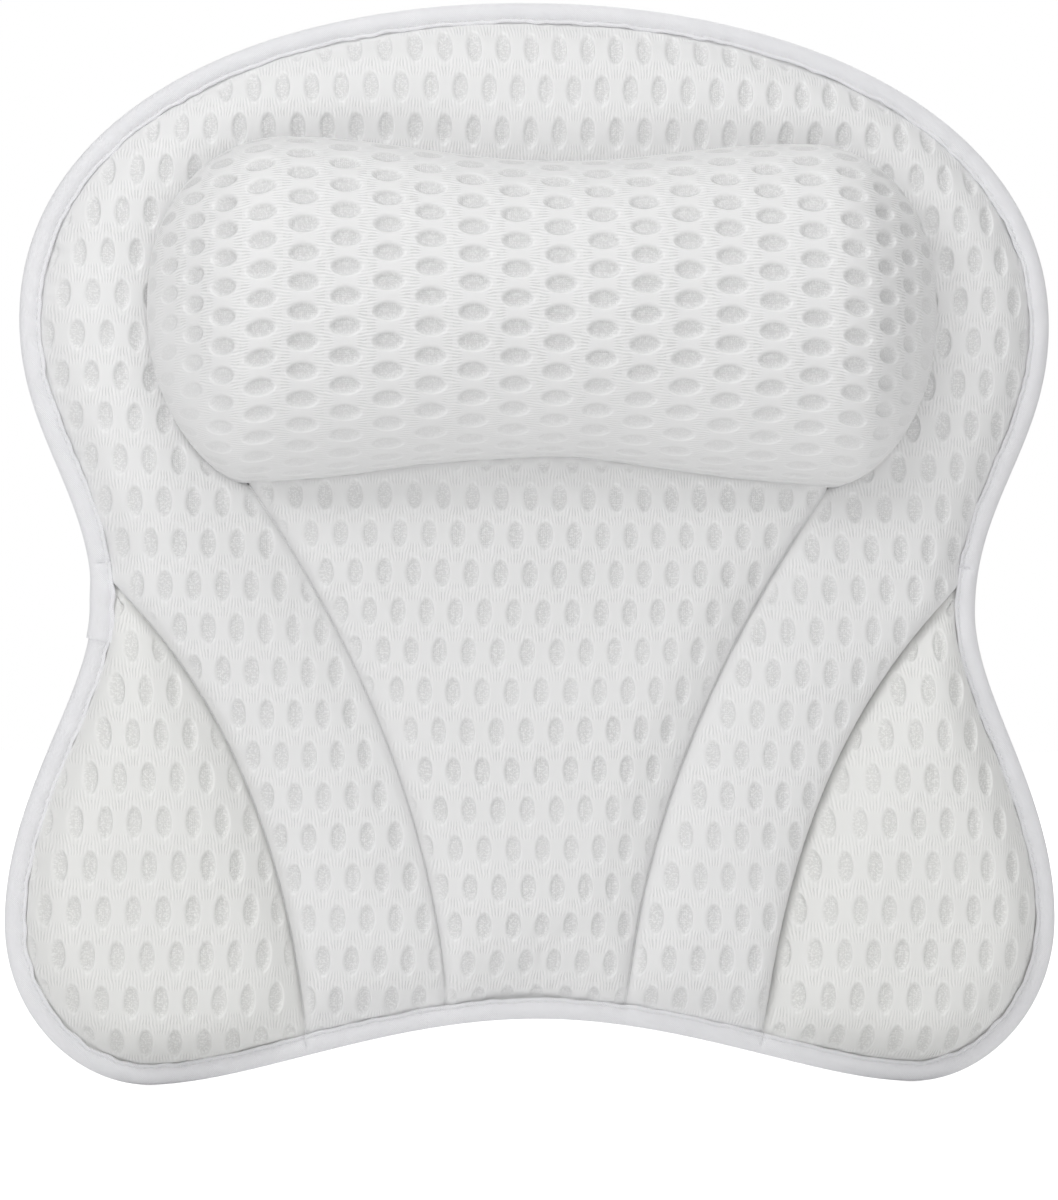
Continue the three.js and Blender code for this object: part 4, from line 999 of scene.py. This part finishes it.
# Eyelets. White grommets of moulded plastic, one for each cup. Each is a short tube between two round
# flanges, which are clamped together through a hole in the back cover and hold its edge between them.
EYELET_BORE = 4.6
EYELET_TUBE = 5.6
FLANGE = 9.5
FLANGE_THICKNESS = 1
EYELET_REAR = 11.7
EYELET_FRONT = 16.3
EYELET_SEGMENTS = 64
GRAIN_DEPTH = 0.00004
PLASTIC_WHITE, PLASTIC_SHADE = (0.88, 0.88, 0.88), (0.83, 0.83, 0.84)
CUPS = {
    "upper_left": (-109, 320), "upper_right": (109, 320), "middle": (0, 201),
    "lower": (0, 86), "left_wing": (-152.5, 72), "right_wing": (152.5, 72),
}


def revolved(profile, segments, closed):
    radius, level = np.array(profile, float).T
    angle = np.arange(segments)[:, None] * 2 * math.pi / segments
    depth = np.broadcast_to(-level, (segments, len(level)))
    ring = np.stack([radius * np.cos(angle), depth, radius * np.sin(angle)], axis=-1) * MM
    return ring, grid_faces(segments, len(profile), closed_rows=True, closed_columns=closed)


def plastic_finish():
    material, tree, shader = finish_of("eyelet_plastic", Coat_Weight=0.1)
    place = on_object(tree)
    grain = noise(tree, place, scale=500.0, detail=3.0)
    cloud = noise(tree, place, scale=60.0, detail=2.0)
    tree.links.new(ramp(tree, cloud, 0.2, 0.8, 0.32, 0.48), shader.inputs["Roughness"])
    tinted(tree, shader, cloud, PLASTIC_WHITE, PLASTIC_SHADE)
    dented(tree, shader, grain, GRAIN_DEPTH)
    return material


eyelet_plastic = plastic_finish()
rear_inside, front_inside = EYELET_REAR + FLANGE_THICKNESS, EYELET_FRONT - FLANGE_THICKNESS
eyelet_round = [
    (EYELET_BORE, EYELET_REAR + 0.3), (EYELET_BORE + 0.3, EYELET_REAR), (FLANGE - 1.2, EYELET_REAR),
    (FLANGE - 0.3, EYELET_REAR + 0.3), (FLANGE, EYELET_REAR + 0.8), (FLANGE - 0.2, rear_inside),
    (EYELET_TUBE, rear_inside), (EYELET_TUBE, front_inside), (FLANGE - 0.2, front_inside),
    (FLANGE, EYELET_FRONT - 0.5), (FLANGE - 0.5, EYELET_FRONT), (EYELET_BORE + 0.2, EYELET_FRONT),
    (EYELET_BORE, EYELET_FRONT - 0.2),
]
eyelet_ring, eyelet_faces = revolved(eyelet_round, EYELET_SEGMENTS, True)
for name, place in CUPS.items():
    eyelet = piece(f"{name}_grommet", eyelet_ring + placed(place, 0), eyelet_faces, eyelet_plastic)
    eyelet.data.set_sharp_from_angle(angle=math.radians(50))
    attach(eyelet, name if name.endswith("wing") else "pad")
    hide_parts(f"{name}_eyelet")

# Suction cups. Clear soft vinyl, moulded in one piece: a thin dome with a flat lip, a neck that snaps
# through the eyelet into a round knob, and a pull tab below.
CUP_RADIUS = 27
CUP_SHOULDER = 11.4
CUP_HOLLOW = 3.6
CUP_LIP = 1.6
CUP_SEGMENTS = 96
NECK = 4.3
KNOB_START = 16.6
KNOB_END = 20
TAB_WIDTH = 11
TAB_REACH = 9
TAB_ROOT = 3
TAB_CORNER = 2.5
TAB_REAR = 0.9
TAB_THICKNESS = 1.4
TAB_BEVEL, TAB_NARROWER = 0.2, 0.94
VINYL_RELIEF = 0.00005
VINYL_CLEAR, VINYL_CLOUDY = (0.93, 0.94, 0.95), (0.88, 0.9, 0.91)


def vinyl_finish():
    material, tree, shader = finish_of(
        "clear_vinyl", IOR=1.5, Transmission_Weight=0.85, Coat_Weight=0.15
    )
    cloud = noise(tree, on_object(tree), scale=90.0, detail=3.0)
    tree.links.new(ramp(tree, cloud, 0.2, 0.8, 0.1, 0.22), shader.inputs["Roughness"])
    tinted(tree, shader, cloud, VINYL_CLEAR, VINYL_CLOUDY)
    dented(tree, shader, cloud, VINYL_RELIEF)
    return material


def cup_dome():
    rounded = bezier(
        (NECK, CUP_SHOULDER + 1.0), (4.5, CUP_SHOULDER), (6.5, CUP_SHOULDER), count=5
    )
    outside = bezier(
        (9, CUP_SHOULDER), (CUP_RADIUS * 0.8, CUP_SHOULDER * 0.8), (CUP_RADIUS, 0.9), count=22
    )
    hollow = bezier(
        (CUP_RADIUS - CUP_LIP, 0), (CUP_RADIUS / 2, CUP_HOLLOW), (0, CUP_HOLLOW), count=22
    )
    profile = [
        (0, KNOB_END), (4.6, KNOB_END), (5.8, KNOB_END - 0.2), (6.8, KNOB_END - 1.0),
        (7, KNOB_END - 1.6), (6.9, KNOB_START + 0.1), (4.5, KNOB_START), (NECK, KNOB_START - 0.2),
        *rounded.tolist(), *outside.tolist(), (CUP_RADIUS, 0.3), (CUP_RADIUS - 0.3, 0),
        *hollow.tolist(),
    ]
    return piece("cup_dome", *revolved(profile, CUP_SEGMENTS, False), vinyl)


def cup_tab():
    half, root = TAB_WIDTH / 2, TAB_ROOT - CUP_RADIUS
    low = TAB_CORNER - CUP_RADIUS - TAB_REACH
    corner = [
        (half - TAB_CORNER + TAB_CORNER * math.cos(a), low - TAB_CORNER * math.sin(a))
        for a in np.linspace(0, math.pi / 2, 7)
    ]
    right = [(half, root), *corner]
    outline = right + [(-x, z) for x, z in right[::-1]]
    front = TAB_REAR + TAB_THICKNESS
    layers = [
        (TAB_NARROWER, TAB_REAR), (1, TAB_REAR + TAB_BEVEL),
        (1, front - TAB_BEVEL), (TAB_NARROWER, front),
    ]
    vertices = np.array([(x * grow, -level, z) for grow, level in layers for x, z in outline]) * MM
    count = len(outline)
    faces = grid_faces(len(layers), count, closed_columns=True)
    faces += [list(range(start, start + count)) for start in (0, (len(layers) - 1) * count)]
    return piece("cup_tab", vertices, faces, vinyl)


vinyl = vinyl_finish()
dome, tab = cup_dome(), cup_tab()
moulding = dome.modifiers.new("tab", "BOOLEAN")
moulding.operation = "UNION"
moulding.solver = "EXACT"
moulding.object = tab
cup_shape = made_real(dome)
cup_shape.set_sharp_from_angle(angle=math.radians(45))
bpy.data.objects.remove(tab)
for name, place in CUPS.items():
    mesh = cup_shape.copy()
    mesh.transform(Matrix.Translation(Vector(placed(place, 0).tolist())))
    cup = put(f"{name}_suction_cup", mesh)
    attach(cup, f"{name}_cup")
    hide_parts(f"{name}_cup")

# Hanging loop. A band of white polyester webbing, folded into an eye, hangs from a patch of the same
# webbing that is box-stitched to the back near the top.
LOOP_HALF = 12
LOOP_LENGTH = 50
LOOP_BEND, LOOP_TOP_BEND = 9.5, 5
LOOP_POINTS, BEND_POINTS = 180, 14
BAND = 10
BAND_THICKNESS = 1.5
BAND_EDGE = [(-0.5, 0), (0, 0.4), (0, 1.1), (-0.5, 1.5)]
BAND_RIBS, BAND_RIB_HEIGHT = 10, 0.06
LOOP_PIVOT = (0, -11.2, 195.06)
LOOP_TILT = math.atan2(BAND_THICKNESS, LOOP_LENGTH)
PATCH_HALF = 20
PATCH_LOW, PATCH_HIGH = 195.36, 207.36
PATCH_REAR, PATCH_FRONT = 11.5, 12.7
PATCH_ROUNDING = 0.5
PATCH_COLUMNS, PATCH_ROWS = 41, 13
BOX_INSET, BOX_LIFT = 2, 0.05
WEBBING_RIB, WEBBING_CORD, WEAVE_SHADE = 1.2, 1.7, 0.3
WEBBING_RELIEF = 0.0003
WEBBING_WHITE, WEBBING_SHADE = (0.88, 0.88, 0.9), (0.8, 0.8, 0.82)


def webbing_finish():
    material, tree, shader = finish_of("webbing", Roughness=0.7, Sheen_Weight=0.15)
    fabric = node(tree, "ShaderNodeAttribute", attribute_name="fabric").outputs["Vector"]
    axes = split(tree, fabric)
    ribs, cords = waves(tree, axes["X"], WEBBING_RIB), waves(tree, axes["Y"], WEBBING_CORD)
    weave = maths(tree, "MULTIPLY", ribs, cords)
    cloud = noise(tree, fabric, scale=0.3, detail=3.0)
    shade = maths(tree, "MULTIPLY_ADD", weave, WEAVE_SHADE, cloud)
    tinted(tree, shader, shade, WEBBING_SHADE, WEBBING_WHITE)
    dented(tree, shader, weave, WEBBING_RELIEF)
    return material


def woven(name, vertices, faces, along, across):
    fabric = np.stack([along, across, np.zeros_like(along)], axis=-1)
    made = piece(name, vertices * MM, faces, webbing, fabric, merge=0)
    return made


webbing = webbing_finish()
half_band = BAND / 2
bend_angle = np.linspace(0, math.pi / 2, BEND_POINTS)
bend = np.stack([np.cos(bend_angle), np.sin(bend_angle)], axis=1)
low_middle = np.array([LOOP_HALF - LOOP_BEND, half_band - LOOP_LENGTH + LOOP_BEND])
top_middle = np.array([LOOP_HALF - LOOP_TOP_BEND, -half_band - LOOP_TOP_BEND])
half_ring = joined(
    low_middle + LOOP_BEND * bend[::-1] * (1, -1), top_middle + LOOP_TOP_BEND * bend
)
whole_ring = np.concatenate([half_ring, half_ring[::-1] * (-1, 1), half_ring[:1]])
ring_line = np.roll(evened(whole_ring, LOOP_POINTS + 1)[:-1], LOOP_POINTS // 2, axis=0)
ring_closed = np.concatenate([ring_line[-1:], ring_line, ring_line[:1]])
ring_normal = (inward(ring_closed, 1.0) - ring_closed)[1:-1]
edge_profile = [(half_band + inset, out) for inset, out in BAND_EDGE]
rib_profile = [
    (half_band * (1 - 2 * k / BAND_RIBS) * 0.9, BAND_THICKNESS + BAND_RIB_HEIGHT * (k % 2))
    for k in range(1, BAND_RIBS)
]
band_profile = edge_profile + rib_profile + [(-inset, out) for inset, out in edge_profile[::-1]]
inset, out = (np.tile(side[:, None], (1, LOOP_POINTS)) for side in np.array(band_profile).T)
flat = ring_line[None] + ring_normal[None] * inset[..., None]
cosine, sine = math.cos(LOOP_TILT), math.sin(LOOP_TILT)
hanging = np.stack(
    [flat[..., 0], -out * cosine - flat[..., 1] * sine, -out * sine + flat[..., 1] * cosine], axis=-1
)
ring_step = travel(ring_line)[-1] / LOOP_POINTS
run_along = np.broadcast_to(np.arange(LOOP_POINTS) * ring_step, inset.shape)
band_faces = grid_faces(len(band_profile), LOOP_POINTS, closed_rows=True, closed_columns=True)
loop_band = woven("loop_webbing", hanging + np.array(LOOP_PIVOT), band_faces, run_along, inset)
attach(loop_band, "hanging_loop")
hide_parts("hanging_loop")
patch_x, patch_z = np.meshgrid(
    np.linspace(-PATCH_HALF, PATCH_HALF, PATCH_COLUMNS),
    np.linspace(PATCH_LOW, PATCH_HIGH, PATCH_ROWS), indexing="ij",
)
from_side = np.minimum(PATCH_HALF - abs(patch_x), np.minimum(patch_z - PATCH_LOW, PATCH_HIGH - patch_z))
patch_level = PATCH_REAR + PATCH_ROUNDING * (1 - eased(-0.4, 2, from_side))
patch_rear = np.stack([patch_x, -patch_level, patch_z], axis=-1).reshape(-1, 3)
patch_rim = rim_of(np.arange(patch_x.size).reshape(patch_x.shape))
patch_front = patch_rear[patch_rim] * (1, 0, 1) - (0, PATCH_FRONT, 0)
front_rim = patch_x.size + np.arange(len(patch_rim))
patch_faces = grid_faces(*patch_x.shape) + wall_faces(patch_rim, front_rim) + [front_rim.tolist()]
patch_points = np.concatenate([patch_rear, patch_front])
patch = woven(
    "loop_patch_webbing", patch_points, patch_faces, patch_points[:, 0], patch_points[:, 2]
)
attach(patch, "pad")
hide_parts("loop_patch")
box_x, box_low, box_high = PATCH_HALF - BOX_INSET, PATCH_LOW + BOX_INSET, PATCH_HIGH - BOX_INSET
box = [
    (-box_x, box_low), (box_x, box_low), (box_x, box_high),
    (-box_x, box_high), (-box_x, box_low), (box_x, box_high),
]
box_path = np.array([(x, -PATCH_REAR + BOX_LIFT, z) for x, z in box]) * MM
patch_stitches = stitched("loop_patch_stitches", [box_path])
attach(patch_stitches, "pad")

# Camera and studio. The pillow stands on a white floor before a white backdrop and is seen almost
# square from the front. A soft key light comes from the upper left, with weaker ones in front and
# above, and one behind for the back.
VIEW_DISTANCE = 1.75
VIEW_TURN = math.radians(-5.5)
VIEW_RISE = math.radians(1.0)
VIEW_ROLL = math.radians(0.4)
FRAME_HEIGHT = 0.4673
SENSOR = 36
AIM = Vector((-0.0035, -0.016, -0.0138))
LAMPS = {
    "key": (5.6, 0.7, (-0.9, -1.15, 0.75)),
    "rear": (14, 1.2, (0.5, 1.5, 0.9)),
    "front": (3.5, 0.5, (0, -1.7, 0.1)),
    "top": (2.4, 0.6, (0, -0.5, 1.1)),
}
SKY_LIGHT = 0.43
FLOOR_WHITE = (0.9, 0.9, 0.9, 1)
FLOOR_GLOW = 0.62
FLOOR_HALF_WIDTH, FLOOR_HALF_DEPTH, FLOOR_GAP = 3000, 2500, 0.2
camera = put("camera", bpy.data.cameras.new("camera"))
level_share = math.cos(VIEW_RISE)
back_off = Vector(
    (math.sin(VIEW_TURN) * level_share, -math.cos(VIEW_TURN) * level_share, math.sin(VIEW_RISE))
)
camera.location = AIM + back_off * VIEW_DISTANCE
facing = (-back_off).to_track_quat("-Z", "Y").to_matrix() @ Matrix.Rotation(VIEW_ROLL, 3, "Z")
camera.rotation_euler = facing.to_euler()
camera.data.sensor_width = SENSOR
camera.data.lens = SENSOR * VIEW_DISTANCE / FRAME_HEIGHT
bpy.context.scene.camera = camera
for name, (energy, size, position) in LAMPS.items():
    lamp = put(name, bpy.data.lights.new(name, "AREA"))
    lamp.data.energy = energy
    lamp.data.size = size
    lamp.location = position
    lamp.rotation_euler = (-lamp.location).to_track_quat("-Z", "Y").to_euler()
world = bpy.data.worlds.new("studio")
bpy.context.scene.world = world
world.use_nodes = True
sky = world.node_tree
seen = node(sky, "ShaderNodeLightPath").outputs
mirrored_rays = maths(sky, "MAXIMUM", seen["Is Glossy Ray"], seen["Is Transmission Ray"])
direct = maths(sky, "MAXIMUM", seen["Is Camera Ray"], mirrored_rays)
background = sky.nodes["Background"]
background.inputs[0].default_value = (1, 1, 1, 1)
sky.links.new(maths(sky, "MULTIPLY_ADD", direct, 1 - SKY_LIGHT, SKY_LIGHT), background.inputs[1])
bpy.context.scene.view_settings.view_transform = "Standard"
floor_finish, floor_tree, floor_shader = finish_of(
    "floor", Roughness=0.9, Base_Color=FLOOR_WHITE, Emission_Strength=FLOOR_GLOW
)
floor_seen = node(floor_tree, "ShaderNodeLightPath").outputs["Is Camera Ray"]
floor_tree.links.new(floor_seen, floor_shader.inputs["Emission Color"])
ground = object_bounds()[0][2] / MM + ORIGIN_HEIGHT - FLOOR_GAP
floor_plan = [(x * FLOOR_HALF_WIDTH, ground) for x in (-1, 1, 1, -1)]
floor_level = np.array([1, 1, -1, -1]) * FLOOR_HALF_DEPTH
floor = piece("floor", placed(floor_plan, floor_level), [[0, 1, 2, 3]], floor_finish)
